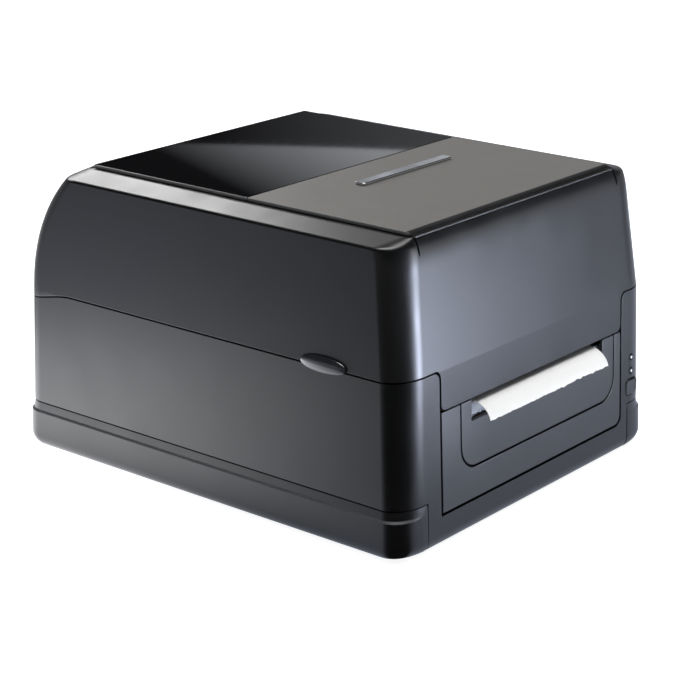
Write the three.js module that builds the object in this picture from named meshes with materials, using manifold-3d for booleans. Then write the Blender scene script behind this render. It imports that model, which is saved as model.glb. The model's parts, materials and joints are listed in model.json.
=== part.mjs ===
// A desktop thermal-transfer label printer for 4-inch labels, with its clamshell cover, print
// mechanism, ribbon module and label roll. Millimetres; +X is to the right as seen from the front,
// the front faces -Y, +Z is up. The origin is the centre of the footprint, at the height of the table.
import * as THREE from "three";
import { mergeVertices } from "three/addons/utils/BufferGeometryUtils.js";
import Module from "manifold-3d";

const wasm = await Module();
wasm.setup();

// ---------------------------------------------------------------- driving dimensions

const SEAM_Z = 93; // the parting line between the lower housing and the cover
const HALF_WIDTH = 113; // at the seam
const HALF_DEPTH = 132; // at the seam
const COVER_TOP_Z = 161.5;
const PLATE_TOP_Z = 163.3;
const WALL = 2.6;
const GAP = 0.3; // between pieces that touch
const SHUT_LINE = 0.6; // the visible joint between two outer panels
const FRONT_RADIUS = 13; // vertical corners
const REAR_RADIUS = 12;
const BASE_FRONT_LEAN = radians(2.3);
const BASE_REAR_LEAN = radians(2);
const BASE_SIDE_LEAN = radians(0.94);
const COVER_FRONT_LEAN = radians(7);
const COVER_SIDE_LEAN = radians(4.15);
const COVER_BACK_RADIUS = 84; // the big curve down the back of the cover
const COVER_BACK_Z = 98; // the height of that curve's centre

const FLOOR_Z = 0.8; // underside of the tray; the rubber feet stand in recesses in it
const TRAY_TOP_Z = 27;
const TRAY_RIDGE_Z = 21.3; // a narrow ledge runs round the tray at this height
const TRAY_LEDGE_Z = 22.3;
const TRAY_PROUD = 1.1; // how far the tray stands outside the housing
const TRAY_FRONT_END = 93; // the tray's front ends at this distance either side of the middle
const BOTTOM_ROUND_Z = 8; // the bottom edge starts rounding under below this height
const BOTTOM_ROUND_IN = 5;
const BOTTOM_LEVELS = [FLOOR_Z, 1.3, 2.4, 4.6, BOTTOM_ROUND_Z];
const FOOT = { x: 92, front: -108, rear: 112, r: 9, top: 2 };

const SHOULDER = { z: 158.3, topHalfWidth: 93, topFront: -120.8 }; // the shallow chamfer round the top
const SEAM_DIP = { start: 95, end: 130, depth: 5 }; // the seam runs down near the back

const DOORWAY = { left: -81.5, right: 86.4, bottom: 16.7, top: 71.3, corner: 4.5 };
const OUTLET = { left: -64.6, right: 78.8, bottom: 34.8, corner: 13 };
const SLOT = { left: -54.8, right: 66.8, bottom: 60 };

const PIVOT = { y: 137, z: 89.5, knuckle: 4.4, pin: 2, x: 70 }; // the cover's hinge line

const MID_X = 6; // the middle of the label path
const WEB_WIDTH = 110;
const WEB_THICKNESS = 0.3;

const PLATEN = { y: -113.5, z: 60.7, r: 7.8, shaft: 3.1 };
const ROLL = { y: 55, z: 74, r: 50, core: 14.5, bore: 12.7 };
const WEB_BAR = { y: -50, z: 59, r: 2.4 };
const MODULE_PIVOT = { y: -14, z: 96 };
const SUPPLY = { y: -36, z: 118, r: 18 };
const FRAME_LEFT = -60; // outer faces of the print frame's two side plates
const FRAME_RIGHT = 72;
const FRAME_PLATE = 2.5;
const MODULE_LEFT = -56.6;
const MODULE_RIGHT = 68.6;
const MODULE_PLATE = 2.4;

// ---------------------------------------------------------------- geometry helpers

function radians(degrees) {
  return (degrees * Math.PI) / 180;
}

// A geometry as a manifold solid, for joins and cuts.
function solid(geometry) {
  const bare = geometry.clone();
  bare.deleteAttribute("normal");
  bare.deleteAttribute("uv");
  const merged = mergeVertices(bare, 1e-4);
  return new wasm.Manifold(
    new wasm.Mesh({
      numProp: 3,
      vertProperties: new Float32Array(merged.attributes.position.array),
      triVerts: new Uint32Array(merged.index.array),
    }),
  );
}

function geometryOf(manifold) {
  const { vertProperties, triVerts } = manifold.getMesh();
  const geometry = new THREE.BufferGeometry();
  geometry.setAttribute("position", new THREE.BufferAttribute(vertProperties, 3));
  geometry.setIndex(new THREE.BufferAttribute(triVerts, 1));
  geometry.computeVertexNormals();
  return geometry;
}

function join(...geometries) {
  return geometryOf(geometries.map(solid).reduce((sum, next) => sum.add(next)));
}

function cut(geometry, ...cutters) {
  return geometryOf(cutters.map(solid).reduce((rest, next) => rest.subtract(next), solid(geometry)));
}

function box(x0, x1, y0, y1, z0, z1) {
  const geometry = new THREE.BoxGeometry(x1 - x0, y1 - y0, z1 - z0);
  return geometry.translate((x0 + x1) / 2, (y0 + y1) / 2, (z0 + z1) / 2);
}

// Cylinders along each axis, from one end to the other.
function rodX(r, x0, x1, y, z, sides = 24) {
  const geometry = new THREE.CylinderGeometry(r, r, x1 - x0, sides);
  return geometry.rotateZ(-Math.PI / 2).translate((x0 + x1) / 2, y, z);
}

function rodY(r, y0, y1, x, z, sides = 24) {
  const geometry = new THREE.CylinderGeometry(r, r, y1 - y0, sides);
  return geometry.translate(x, (y0 + y1) / 2, z);
}

function rodZ(r, z0, z1, x, y, sides = 24) {
  const geometry = new THREE.CylinderGeometry(r, r, z1 - z0, sides);
  return geometry.rotateX(Math.PI / 2).translate(x, y, (z0 + z1) / 2);
}

function tubeX(outer, inner, x0, x1, y, z, sides = 32) {
  return cut(rodX(outer, x0, x1, y, z, sides), rodX(inner, x0 - 1, x1 + 1, y, z, sides));
}

// Outlines drawn in one plane and extruded along the axis that is left.
function alongX(shape, x0, x1, curveSegments = 4) {
  const geometry = new THREE.ExtrudeGeometry(shape, { depth: x1 - x0, bevelEnabled: false, curveSegments });
  const toYZ = new THREE.Matrix4().set(0, 0, 1, x0, 1, 0, 0, 0, 0, 1, 0, 0, 0, 0, 0, 1);
  return geometry.applyMatrix4(toYZ);
}

function alongY(shape, y0, y1, curveSegments = 4) {
  const geometry = new THREE.ExtrudeGeometry(shape, { depth: y1 - y0, bevelEnabled: false, curveSegments });
  return geometry.rotateX(Math.PI / 2).translate(0, y1, 0);
}

function alongZ(shape, z0, z1, curveSegments = 3) {
  const geometry = new THREE.ExtrudeGeometry(shape, { depth: z1 - z0, bevelEnabled: false, curveSegments });
  return geometry.translate(0, 0, z0);
}

function polygon(points) {
  return new THREE.Shape(points.map(([u, v]) => new THREE.Vector2(u, v)));
}

function roundedRect(u0, u1, v0, v1, r) {
  const shape = new THREE.Shape();
  shape.moveTo(u0 + r, v0);
  shape.absarc(u1 - r, v0 + r, r, -Math.PI / 2, 0, false);
  shape.absarc(u1 - r, v1 - r, r, 0, Math.PI / 2, false);
  shape.absarc(u0 + r, v1 - r, r, Math.PI / 2, Math.PI, false);
  shape.absarc(u0 + r, v0 + r, r, Math.PI, 1.5 * Math.PI, false);
  return shape;
}

// A closed skin over a stack of rings with equal point counts, lowest ring first.
function loft(rings) {
  const positions = [];
  const triangle = (a, b, c) => positions.push(...a, ...b, ...c);
  const count = rings[0].length;
  for (let level = 0; level < rings.length - 1; level++) {
    for (let i = 0; i < count; i++) {
      const next = (i + 1) % count;
      const [low, high] = [rings[level], rings[level + 1]];
      triangle(low[i], low[next], high[next]);
      triangle(low[i], high[next], high[i]);
    }
  }
  const [bottom, top] = [rings[0], rings[rings.length - 1]];
  for (let i = 1; i < count - 1; i++) {
    triangle(bottom[0], bottom[i + 1], bottom[i]);
    triangle(top[0], top[i], top[i + 1]);
  }
  const geometry = new THREE.BufferGeometry();
  geometry.setAttribute("position", new THREE.Float32BufferAttribute(positions, 3));
  return geometry;
}

// ---------------------------------------------------------------- the outer form

const CORNER_STEPS = 4;

// One level of the case: a rectangle with its vertical corners rounded.
function caseRing({ z, halfWidth, front, rear }, inset = 0) {
  const points = [];
  const w = halfWidth - inset;
  const f = front + inset;
  const b = rear - inset;
  const rf = FRONT_RADIUS - inset;
  const rr = REAR_RADIUS - inset;
  const corners = [
    [w - rf, f + rf, rf, -90],
    [w - rr, b - rr, rr, 0],
    [rr - w, b - rr, rr, 90],
    [rf - w, f + rf, rf, 180],
  ];
  for (const [cx, cy, r, start] of corners) {
    for (let i = 0; i <= CORNER_STEPS; i++) {
      const a = radians(start + (90 * i) / CORNER_STEPS);
      points.push([cx + r * Math.cos(a), cy + r * Math.sin(a), z]);
    }
  }
  return points;
}

// How far the bottom edge has rounded under at height z: a quarter of an ellipse.
function bottomInset(z) {
  const t = Math.min(1, Math.max(0, (BOTTOM_ROUND_Z - z) / (BOTTOM_ROUND_Z - FLOOR_Z)));
  return BOTTOM_ROUND_IN * (1 - Math.sqrt(1 - 0.96 * t * t));
}

function baseLevel(z, proud = 0) {
  const grow = proud - bottomInset(z);
  const below = SEAM_Z - z;
  return {
    z,
    halfWidth: HALF_WIDTH + below * Math.tan(BASE_SIDE_LEAN) + grow,
    front: -HALF_DEPTH - below * Math.tan(BASE_FRONT_LEAN) - grow,
    rear: HALF_DEPTH + below * Math.tan(BASE_REAR_LEAN) + grow,
  };
}

function coverLevel(z) {
  const above = z - SEAM_Z;
  const up = Math.max(0, z - COVER_BACK_Z);
  return {
    z,
    halfWidth: HALF_WIDTH - above * Math.tan(COVER_SIDE_LEAN),
    front: -HALF_DEPTH + above * Math.tan(COVER_FRONT_LEAN),
    rear: HALF_DEPTH - COVER_BACK_RADIUS + Math.sqrt(COVER_BACK_RADIUS ** 2 - up ** 2),
  };
}

// The seam's height at depth y: level, then a smooth run down near the back.
function seamHeight(y) {
  const t = Math.min(1, Math.max(0, (y - SEAM_DIP.start) / (SEAM_DIP.end - SEAM_DIP.start)));
  return SEAM_Z - SEAM_DIP.depth * t * t * (3 - 2 * t);
}

// Everything above or below the seam, across the whole width.
function seamCutter(side, offset) {
  const far = side === "above" ? 200 : 20;
  const points = [[-160, seamHeight(-160) + offset]];
  const steps = 7;
  for (let i = 0; i <= steps; i++) {
    const y = SEAM_DIP.start + ((SEAM_DIP.end - SEAM_DIP.start) * i) / steps;
    points.push([y, seamHeight(y) + offset]);
  }
  points.push([160, seamHeight(160) + offset], [160, far], [-160, far]);
  return alongX(polygon(side === "above" ? points : points.reverse()), -130, 130);
}

// The opening between the two front columns, whose inner top corners are rounded.
function doorwayShape(inset, top = 120) {
  const { left, right, bottom, corner } = DOORWAY;
  const l = left + inset;
  const r = right - inset;
  const b = bottom + inset;
  const round = corner + inset;
  const shape = new THREE.Shape();
  shape.moveTo(l, b);
  shape.lineTo(r - 5, b);
  shape.absarc(r - 5, b + 5, 5, -Math.PI / 2, 0, false);
  shape.lineTo(r, SEAM_Z - corner);
  shape.absarc(right + corner, SEAM_Z - corner, round, Math.PI, Math.PI / 2, true);
  shape.lineTo(right + corner, top);
  shape.lineTo(left - corner, top);
  shape.lineTo(left - corner, SEAM_Z + inset);
  shape.absarc(left - corner, SEAM_Z - corner, round, Math.PI / 2, 0, true);
  return shape;
}

// A plate lying in the leaning front face: its outline is drawn as seen from the front.
function frontPlate(shape, thickness) {
  return alongY(shape, 0, thickness)
    .translate(0, 0, -SEAM_Z)
    .rotateX(-BASE_FRONT_LEAN)
    .translate(0, -HALF_DEPTH, SEAM_Z);
}

// A smooth oval lip to lift the cover by; its lower edge hangs just outside the lower housing.
function fingerLip(side) {
  const lip = new THREE.SphereGeometry(1, 28, 14).scale(LIP.proud, LIP.halfLength, LIP.halfHeight);
  const middle = side * (HALF_WIDTH + 0.2);
  lip.translate(middle, LIP.y, SEAM_Z + LIP.rise);
  const wall = side * (HALF_WIDTH + 0.5);
  const inside = box(Math.min(0, wall), Math.max(0, wall), -130, -40, SEAM_Z - 20, SEAM_Z + SHUT_LINE);
  return cut(lip, inside);
}

// ---------------------------------------------------------------- gears

const GEAR_MODULE = 1;
const GEAR_X0 = -68;
const GEAR_X1 = -62.5;

// Straight-sided teeth, thinner than half the pitch so that they turn with play.
function gearShape(teeth, phase) {
  const pitchR = (GEAR_MODULE * teeth) / 2;
  const step = (2 * Math.PI) / teeth;
  const outline = [];
  const corners = [
    [-0.3, pitchR - 1.2],
    [-0.12, pitchR + 0.85],
    [0.12, pitchR + 0.85],
    [0.3, pitchR - 1.2],
  ];
  for (let i = 0; i < teeth; i++) {
    for (const [turn, r] of corners) {
      const a = phase + (i + turn) * step;
      outline.push([r * Math.cos(a), r * Math.sin(a)]);
    }
  }
  return polygon(outline);
}

// The gear train in the plane left of the print frame. Each gear's phase puts its gap on the tooth
// of the gear that drives it: (theta - phase) / pitch of both gears adds up to a half.
function meshedPhase(driver, driven) {
  const theta = Math.atan2(driven.z - driver.z, driven.y - driver.y);
  const driverPitch = (2 * Math.PI) / driver.teeth;
  const drivenPitch = (2 * Math.PI) / driven.teeth;
  const fraction = (theta - driver.phase) / driverPitch;
  return theta + Math.PI - drivenPitch * (0.5 - fraction);
}

const MOTOR_PINION = { teeth: 16, y: -61.9, z: 31.5, phase: 0 };
const IDLER = { teeth: 44, y: -79.9, z: 55.5 };
IDLER.phase = meshedPhase(MOTOR_PINION, IDLER);
const PLATEN_GEAR = { teeth: 24, y: PLATEN.y, z: PLATEN.z };
PLATEN_GEAR.phase = meshedPhase(IDLER, PLATEN_GEAR);
const UPPER_IDLER = { teeth: 30, y: -84.9, z: 92.16 };
UPPER_IDLER.phase = meshedPhase(IDLER, UPPER_IDLER);
const REWIND = { teeth: 20, y: -77.4, z: 116.1, r: 13 };
REWIND.phase = meshedPhase(UPPER_IDLER, REWIND);

function gear({ teeth, y, z, phase }, bore) {
  const hub = rodX(bore + 2.4, GEAR_X0 - 1.5, GEAR_X1, y, z, 20);
  const wheel = alongX(gearShape(teeth, phase), GEAR_X0, GEAR_X1).translate(0, y, z);
  return cut(join(wheel, hub), rodX(bore, GEAR_X0 - 5, GEAR_X1 + 5, y, z, 20));
}

// ---------------------------------------------------------------- materials

function plastic(color, roughness = 0.5) {
  return new THREE.MeshStandardMaterial({ color, roughness, metalness: 0 });
}

function metal(color, roughness = 0.35) {
  return new THREE.MeshStandardMaterial({ color, roughness, metalness: 1 });
}

const CASE = plastic(0x2b2d33, 0.45);
const PANEL = plastic(0x34363e, 0.5);
const GLOSS = plastic(0x050506, 0.08);
const SATIN = plastic(0x3a3937, 0.42);
const FRAME = plastic(0x55585c, 0.55);
const GREY_PART = plastic(0x8a8d90, 0.6);
const GEAR_WHITE = plastic(0xe6e2d6, 0.5);
const ACCENT = plastic(0x2e7dbf, 0.5);
const RUBBER = plastic(0x161616, 0.85);
const PAPER = plastic(0xf2f2ee, 0.8);
const CARD = plastic(0xb08a5a, 0.85);
const FILM = plastic(0x0c0c0e, 0.2);
const BOARD = plastic(0x14532d, 0.45);
const LENS = plastic(0xe8ecf0, 0.1);
const STEEL = metal(0xb9bcc0);
const ALUMINIUM = metal(0xa7abb0, 0.4);
const CHROME = metal(0xd8dadd, 0.12);

const printer = new THREE.Group();

function add(name, geometry, material) {
  const mesh = new THREE.Mesh(geometry, material);
  mesh.name = name;
  printer.add(mesh);
}

// ---------------------------------------------------------------- casing

const BACK_PORTS = {
  power: { x0: -92, x1: -78, z0: 46, z1: 66 },
  dc: { x0: 76, x1: 88, z0: 10.2, z1: 21.5 },
  usb: { x0: 50, x1: 62, z0: 10.2, z1: 21 },
  serial: { x0: 8, x1: 39, z0: 10.2, z1: 22.6 },
};
const LIP = { y: -84, proud: 2.5, halfLength: 14.5, halfHeight: 4.6, rise: 1.8 };
const LED = { x: 96.8, z: [53.6, 45.7], r: 1.7 };
const BUTTON = { x0: 91.2, x1: 102.6, z0: 31.6, z1: 41.2, corner: 2.6 };

function hingeEar(x0, x1, onCover) {
  const { y, z, knuckle, pin } = PIVOT;
  const barrel = rodX(knuckle, x0, x1, y, z, 20);
  const rearWall = HALF_DEPTH - 1;
  const arm = onCover
    ? [[rearWall, z + 1.5], [y, z], [y + 3.6, z + 2.4], [y - 1, z + 10], [rearWall, z + 15]]
    : [[rearWall + 0.6, z - 16], [y + 3.6, z - 2.6], [y, z], [y - 3.4, z - 2.2], [rearWall + 0.6, z - 2.2]];
  return cut(join(barrel, alongX(polygon(arm), x0, x1)), rodX(pin + GAP, x0 - 1, x1 + 1, y, z, 20));
}

function lowerHousing() {
  const outer = loft([...BOTTOM_LEVELS, 95].map((z) => caseRing(baseLevel(z))));
  const inner = loft([0, ...BOTTOM_LEVELS.slice(1), 97].map((z) => caseRing(baseLevel(z), WALL)));
  const low = TRAY_TOP_Z + GAP;
  const end = TRAY_FRONT_END - GAP;
  const shell = cut(
    outer,
    inner,
    seamCutter("above", 0),
    box(-130, 130, -128, 150, -5, low),
    box(-130, -end, -150, -127, -5, low),
    box(end, 130, -150, -127, -5, low),
    alongY(doorwayShape(0), -150, -118),
  );
  const holes = Object.values(BACK_PORTS).map(({ x0, x1, z0, z1 }) => box(x0, x1, 120, 150, z0, z1));
  holes.push(alongY(roundedRect(BUTTON.x0, BUTTON.x1, BUTTON.z0, BUTTON.z1, BUTTON.corner), -145, -125));
  holes.push(...LED.z.map((z) => rodY(LED.r + GAP, -145, -125, LED.x, z, 14)));
  const drilled = cut(shell, ...holes);
  const ears = [];
  for (const side of [-1, 1]) {
    for (const offset of [-7.5, 7.5]) {
      const middle = side * PIVOT.x + offset;
      ears.push(hingeEar(middle - 2.4, middle + 2.4, false));
    }
  }
  return join(drilled, ...ears);
}

function baseTray() {
  const profile = [
    ...[...BOTTOM_LEVELS, TRAY_RIDGE_Z].map((z) => [z, TRAY_PROUD]),
    [TRAY_LEDGE_Z, 0.3],
    [TRAY_TOP_Z, -0.2],
  ];
  const outer = loft(profile.map(([z, proud]) => caseRing(baseLevel(z, proud))));
  const inside = [FLOOR_Z + WALL, ...BOTTOM_LEVELS.slice(3), TRAY_RIDGE_Z, TRAY_TOP_Z + 1];
  const inner = loft(inside.map((z) => caseRing(baseLevel(z), WALL)));
  const shell = cut(outer, inner, box(-TRAY_FRONT_END, TRAY_FRONT_END, -150, -126.6, -1, 40));
  const cutOuts = Object.values(BACK_PORTS)
    .filter(({ z0 }) => z0 < TRAY_TOP_Z)
    .map(({ x0, x1, z0 }) => box(x0, x1, 120, 150, z0 - SHUT_LINE, 40));
  for (const y of [FOOT.front, FOOT.rear]) {
    cutOuts.push(...[-1, 1].map((side) => rodZ(FOOT.r + GAP, -1, FOOT.top + 0.1, side * FOOT.x, y, 20)));
  }
  return cut(shell, ...cutOuts);
}

function topCover() {
  const heights = [60, SEAM_Z];
  const upper = [105, 117, 129, 140, 150, SHOULDER.z].map(coverLevel);
  const crown = {
    z: COVER_TOP_Z,
    halfWidth: SHOULDER.topHalfWidth,
    front: SHOULDER.topFront,
    rear: coverLevel(COVER_TOP_Z).rear,
  };
  const levels = [...heights.map((z) => baseLevel(z)), ...upper, crown];
  const outer = loft(levels.map((level) => caseRing(level)));
  const innerLevels = [{ ...levels[0], z: 55 }, ...levels.slice(1, -2)];
  innerLevels.push({ ...coverLevel(SHOULDER.z), z: SHOULDER.z - 1.6 }, { ...crown, z: COVER_TOP_Z - WALL });
  const inner = loft(innerLevels.map((level) => caseRing(level, WALL)));
  const tongue = alongY(doorwayShape(SHUT_LINE), -150, -118);
  const belowTongue = box(-130, 130, -150, -110, 20, DOORWAY.top + SHUT_LINE);
  const below = geometryOf(solid(seamCutter("below", SHUT_LINE)).subtract(solid(tongue)));
  const plateBed = alongZ(roundedRect(-90.4, 90.4, -119.6, 100.4, 2), PLATE_TOP_Z - 2.4, 170);
  const shell = cut(outer, inner, below, belowTongue, plateBed);
  const ears = [-1, 1].map((side) => hingeEar(side * PIVOT.x - 4.6, side * PIVOT.x + 4.6, true));
  return join(shell, fingerLip(-1), fingerLip(1), ...ears);
}

const FRONT_PANEL_THICK = 2.4;

function outletShape(inset, top) {
  const { left, right, bottom, corner } = OUTLET;
  const shape = new THREE.Shape();
  const r = corner - inset;
  shape.moveTo(left + inset, top);
  shape.lineTo(left + inset, bottom + corner);
  shape.absarc(left + corner, bottom + corner, r, Math.PI, 1.5 * Math.PI, false);
  shape.lineTo(right - corner, bottom + inset);
  shape.absarc(right - corner, bottom + corner, r, -Math.PI / 2, 0, false);
  shape.lineTo(right - inset, top);
  return shape;
}

function frontPanel() {
  const panel = frontPlate(doorwayShape(SHUT_LINE), FRONT_PANEL_THICK);
  const above = box(-130, 130, -150, -110, DOORWAY.top, 160);
  const opening = frontPlate(outletShape(0, 90), 12).translate(0, -4, 0);
  return cut(panel, above, opening);
}

function outletPanel() {
  const plate = frontPlate(outletShape(0.9, DOORWAY.top), FRONT_PANEL_THICK);
  const slot = box(SLOT.left, SLOT.right, -150, -120, SLOT.bottom, 90);
  return cut(plate, slot);
}

add("base_tray", baseTray(), CASE);
add("lower_housing", lowerHousing(), CASE);
add("front_panel", frontPanel(), PANEL);
add("outlet_panel", outletPanel(), PANEL);
add("top_cover", topCover(), CASE);

const PLATE = { halfWidth: 89, front: -118.9, split: -13.2, back: 98.8 };
function coverInsert(y0, y1, r) {
  return alongZ(roundedRect(-PLATE.halfWidth, PLATE.halfWidth, y0, y1, r), PLATE_TOP_Z - 2, PLATE_TOP_Z);
}
add("cover_plate", coverInsert(PLATE.front, PLATE.split - GAP / 2, 1.2), SATIN);
add("cover_window", coverInsert(PLATE.split + GAP / 2, PLATE.back, 1.2), GLOSS);

const BADGE = { x: 6, y: -42, length: 78, depth: 6.5, height: 1.4 };
const badgeOutline = roundedRect(
  BADGE.x - BADGE.length / 2,
  BADGE.x + BADGE.length / 2,
  BADGE.y - BADGE.depth / 2,
  BADGE.y + BADGE.depth / 2,
  1.5,
);
add("badge_bar", alongZ(badgeOutline, PLATE_TOP_Z + 0.2, PLATE_TOP_Z + 0.2 + BADGE.height), CHROME);

for (const [side, label] of [[-1, "left"], [1, "right"]]) {
  const middle = side * PIVOT.x;
  add(`hinge_pin_${label}`, rodX(PIVOT.pin, middle - 10.2, middle + 10.2, PIVOT.y, PIVOT.z, 16), STEEL);
}

for (const [y, end] of [[FOOT.front, "front"], [FOOT.rear, "rear"]]) {
  for (const [side, label] of [[-1, "left"], [1, "right"]]) {
    add(`foot_${end}_${label}`, rodZ(FOOT.r, 0, FOOT.top, side * FOOT.x, y, 20), RUBBER);
  }
}

// ---------------------------------------------------------------- controls on the right column

const BUTTON_DEPTH = 5;
const buttonFace = roundedRect(
  BUTTON.x0 + GAP,
  BUTTON.x1 - GAP,
  BUTTON.z0 + GAP,
  BUTTON.z1 - GAP,
  BUTTON.corner - GAP,
);
add("feed_button", frontPlate(buttonFace, BUTTON_DEPTH).translate(0, -0.4, 0), PANEL);
LED.z.forEach((z, i) => {
  const face = baseLevel(z).front;
  add(["led_power", "led_status"][i], rodY(LED.r, face - 0.3, face + 5, LED.x, z, 14), LENS);
});
const PANEL_BOARD_Y = -126.6;
const panelBoard = join(
  box(84.5, 108, PANEL_BOARD_Y, PANEL_BOARD_Y + 1.6, 26, 60),
  box(93.4, 99.4, PANEL_BOARD_Y - 1.2, PANEL_BOARD_Y + 0.5, 33.4, 39.4),
);
add("panel_board", panelBoard, BOARD);

// ---------------------------------------------------------------- back panel: switch and sockets

const ROCKER = { x: -85, y: 128.2, z: 56 };
const switchHole = BACK_PORTS.power;
const switchBody = cut(
  join(
    box(switchHole.x0 + GAP, switchHole.x1 - GAP, 118, 133.2, switchHole.z0 + GAP, switchHole.z1 - GAP),
    box(switchHole.x0 - 1.5, switchHole.x1 + 1.5, 133.9, 135.4, switchHole.z0 - 1.5, switchHole.z1 + 1.5),
    box(switchHole.x0 + GAP, switchHole.x1 - GAP, 132, 134.5, switchHole.z0 + GAP, switchHole.z1 - GAP),
  ),
  box(switchHole.x0 + 2, switchHole.x1 - 2, 124, 140, switchHole.z0 + 1.8, switchHole.z1 - 1.8),
);
add("switch_body", switchBody, CASE);
const rockerOutline = polygon([
  [-3.6, -2.6],
  [3.2, -7],
  [8.6, -7],
  [7, 0],
  [6.4, 6.5],
  [1.6, 6.8],
  [-3.6, 2.6],
]);
add("power_rocker", alongX(rockerOutline, -4.6, 4.6).translate(ROCKER.x, ROCKER.y, ROCKER.z), PANEL);

const BOARD_Z = 8;
function socket({ x0, x1, z1 }, depth, wall) {
  const shell = box(x0 + GAP, x1 - GAP, 132 - depth, 133, BOARD_Z + 1.6 + GAP, z1 - GAP);
  const mouth = box(x0 + wall, x1 - wall, 132 - depth + 4, 140, BOARD_Z + 1.6 + wall, z1 - wall);
  return cut(shell, mouth);
}
const dc = BACK_PORTS.dc;
const dcMiddle = { x: (dc.x0 + dc.x1) / 2, z: (BOARD_Z + 1.6 + dc.z1) / 2 };
const dcShell = cut(
  box(dc.x0 + GAP, dc.x1 - GAP, 118, 133, BOARD_Z + 1.6 + GAP, dc.z1 - GAP),
  rodY(3.6, 121, 140, dcMiddle.x, dcMiddle.z, 20),
);
add("dc_inlet", join(dcShell, rodY(1, 120, 131, dcMiddle.x, dcMiddle.z, 12)), CASE);
const usb = BACK_PORTS.usb;
add(
  "usb_port",
  join(socket(usb, 16, 1.4), box(usb.x0 + 3.4, usb.x1 - 3.4, 118, 131, BOARD_Z + 5, usb.z1 - 4.4)),
  STEEL,
);
const serial = BACK_PORTS.serial;
add("serial_port", join(socket(serial, 12, 2), box(14, 33, 122, 130, 13.6, 18.6)), STEEL);

const mainBoard = cut(
  join(
    box(-70, 100, 84, 130.4, BOARD_Z, BOARD_Z + 1.6),
    box(-50, -30, 92, 112, BOARD_Z + 1, BOARD_Z + 4),
    box(-20, -6, 96, 108, BOARD_Z + 1, BOARD_Z + 3.4),
    rodZ(5, BOARD_Z + 1, BOARD_Z + 12, 92, 100, 14),
    rodZ(5, BOARD_Z + 1, BOARD_Z + 12, 80, 100, 14),
  ),
  rodZ(1.7, 0, 20, -64, 90, 10),
  rodZ(1.7, 0, 20, -64, 124, 10),
);
add("main_board", mainBoard, BOARD);

// ---------------------------------------------------------------- print frame and drive

const FRAME_FOOT_Z = FLOOR_Z + WALL + GAP;
const BUSH_R = 5.2;

function frameSide(x0, x1, hasGearPost) {
  const crest = hasGearPost ? [[-74, 84], [-78, 99], [-92, 99], [-98, 80]] : [[-98, 78]];
  const outline = polygon([
    [-122.5, FRAME_FOOT_Z],
    [-4, FRAME_FOOT_Z],
    [-4, 96],
    [-8, 102],
    [-20, 102],
    [-26, 88],
    ...crest,
    [-116, 72],
    [-122.5, 66],
  ]);
  return cut(
    alongX(outline, x0, x1),
    rodX(BUSH_R + GAP, x0 - 1, x1 + 1, PLATEN.y, PLATEN.z, 24),
    rodX(3 + GAP, x0 - 1, x1 + 1, MODULE_PIVOT.y, MODULE_PIVOT.z, 20),
    alongX(roundedRect(-44, -14, 20, 70, 8), x0 - 1, x1 + 1),
  );
}

const insideLeft = FRAME_LEFT + FRAME_PLATE;
const insideRight = FRAME_RIGHT - FRAME_PLATE;
const leftSide = join(
  frameSide(FRAME_LEFT, insideLeft, true),
  rodX(2.4, GEAR_X0 - 3.4, FRAME_LEFT + 1, IDLER.y, IDLER.z, 16),
  rodX(2.4, GEAR_X0 - 3.4, FRAME_LEFT + 1, UPPER_IDLER.y, UPPER_IDLER.z, 16),
);
const printFrame = join(
  cut(leftSide, rodX(6, FRAME_LEFT - 1, insideLeft + 1, MOTOR_PINION.y, MOTOR_PINION.z, 20)),
  frameSide(insideRight, FRAME_RIGHT, false),
  box(insideLeft - 1, insideRight + 1, -100, -44, 53, 55.5),
  box(insideLeft - 1, insideRight + 1, -121, -118, 8, 44),
  box(insideLeft - 1, insideRight + 1, -12, -8, 10, 40),
);
add("print_frame", printFrame, FRAME);

const bushLeft = join(
  tubeX(BUSH_R, PLATEN.shaft + GAP, FRAME_LEFT - 0.9, insideLeft + 0.6, PLATEN.y, PLATEN.z, 20),
  tubeX(BUSH_R + 1.6, PLATEN.shaft + GAP, insideLeft + GAP, insideLeft + 1.5, PLATEN.y, PLATEN.z, 20),
);
add("platen_bush_left", bushLeft, GREY_PART);
const bushRight = join(
  tubeX(BUSH_R, PLATEN.shaft + GAP, insideRight - 0.6, FRAME_RIGHT + 0.9, PLATEN.y, PLATEN.z, 20),
  tubeX(BUSH_R + 1.6, PLATEN.shaft + GAP, insideRight - 1.5, insideRight - GAP, PLATEN.y, PLATEN.z, 20),
);
add("platen_bush_right", bushRight, GREY_PART);

add("platen_shaft", rodX(PLATEN.shaft, GEAR_X0 - 2.5, FRAME_RIGHT + 2, PLATEN.y, PLATEN.z, 20), STEEL);
const PLATEN_LEFT = MID_X - 58;
const PLATEN_RIGHT = MID_X + 58;
const rubberSleeve = tubeX(
  PLATEN.r,
  PLATEN.shaft + GAP,
  PLATEN_LEFT,
  PLATEN_RIGHT,
  PLATEN.y,
  PLATEN.z,
  32,
);
add("platen_roller", rubberSleeve, RUBBER);
add("platen_gear", gear(PLATEN_GEAR, PLATEN.shaft + GAP), GEAR_WHITE);
add("idler_gear", gear(IDLER, 2.4 + GAP), GEAR_WHITE);
add("upper_idler_gear", gear(UPPER_IDLER, 2.4 + GAP), GEAR_WHITE);

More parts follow.
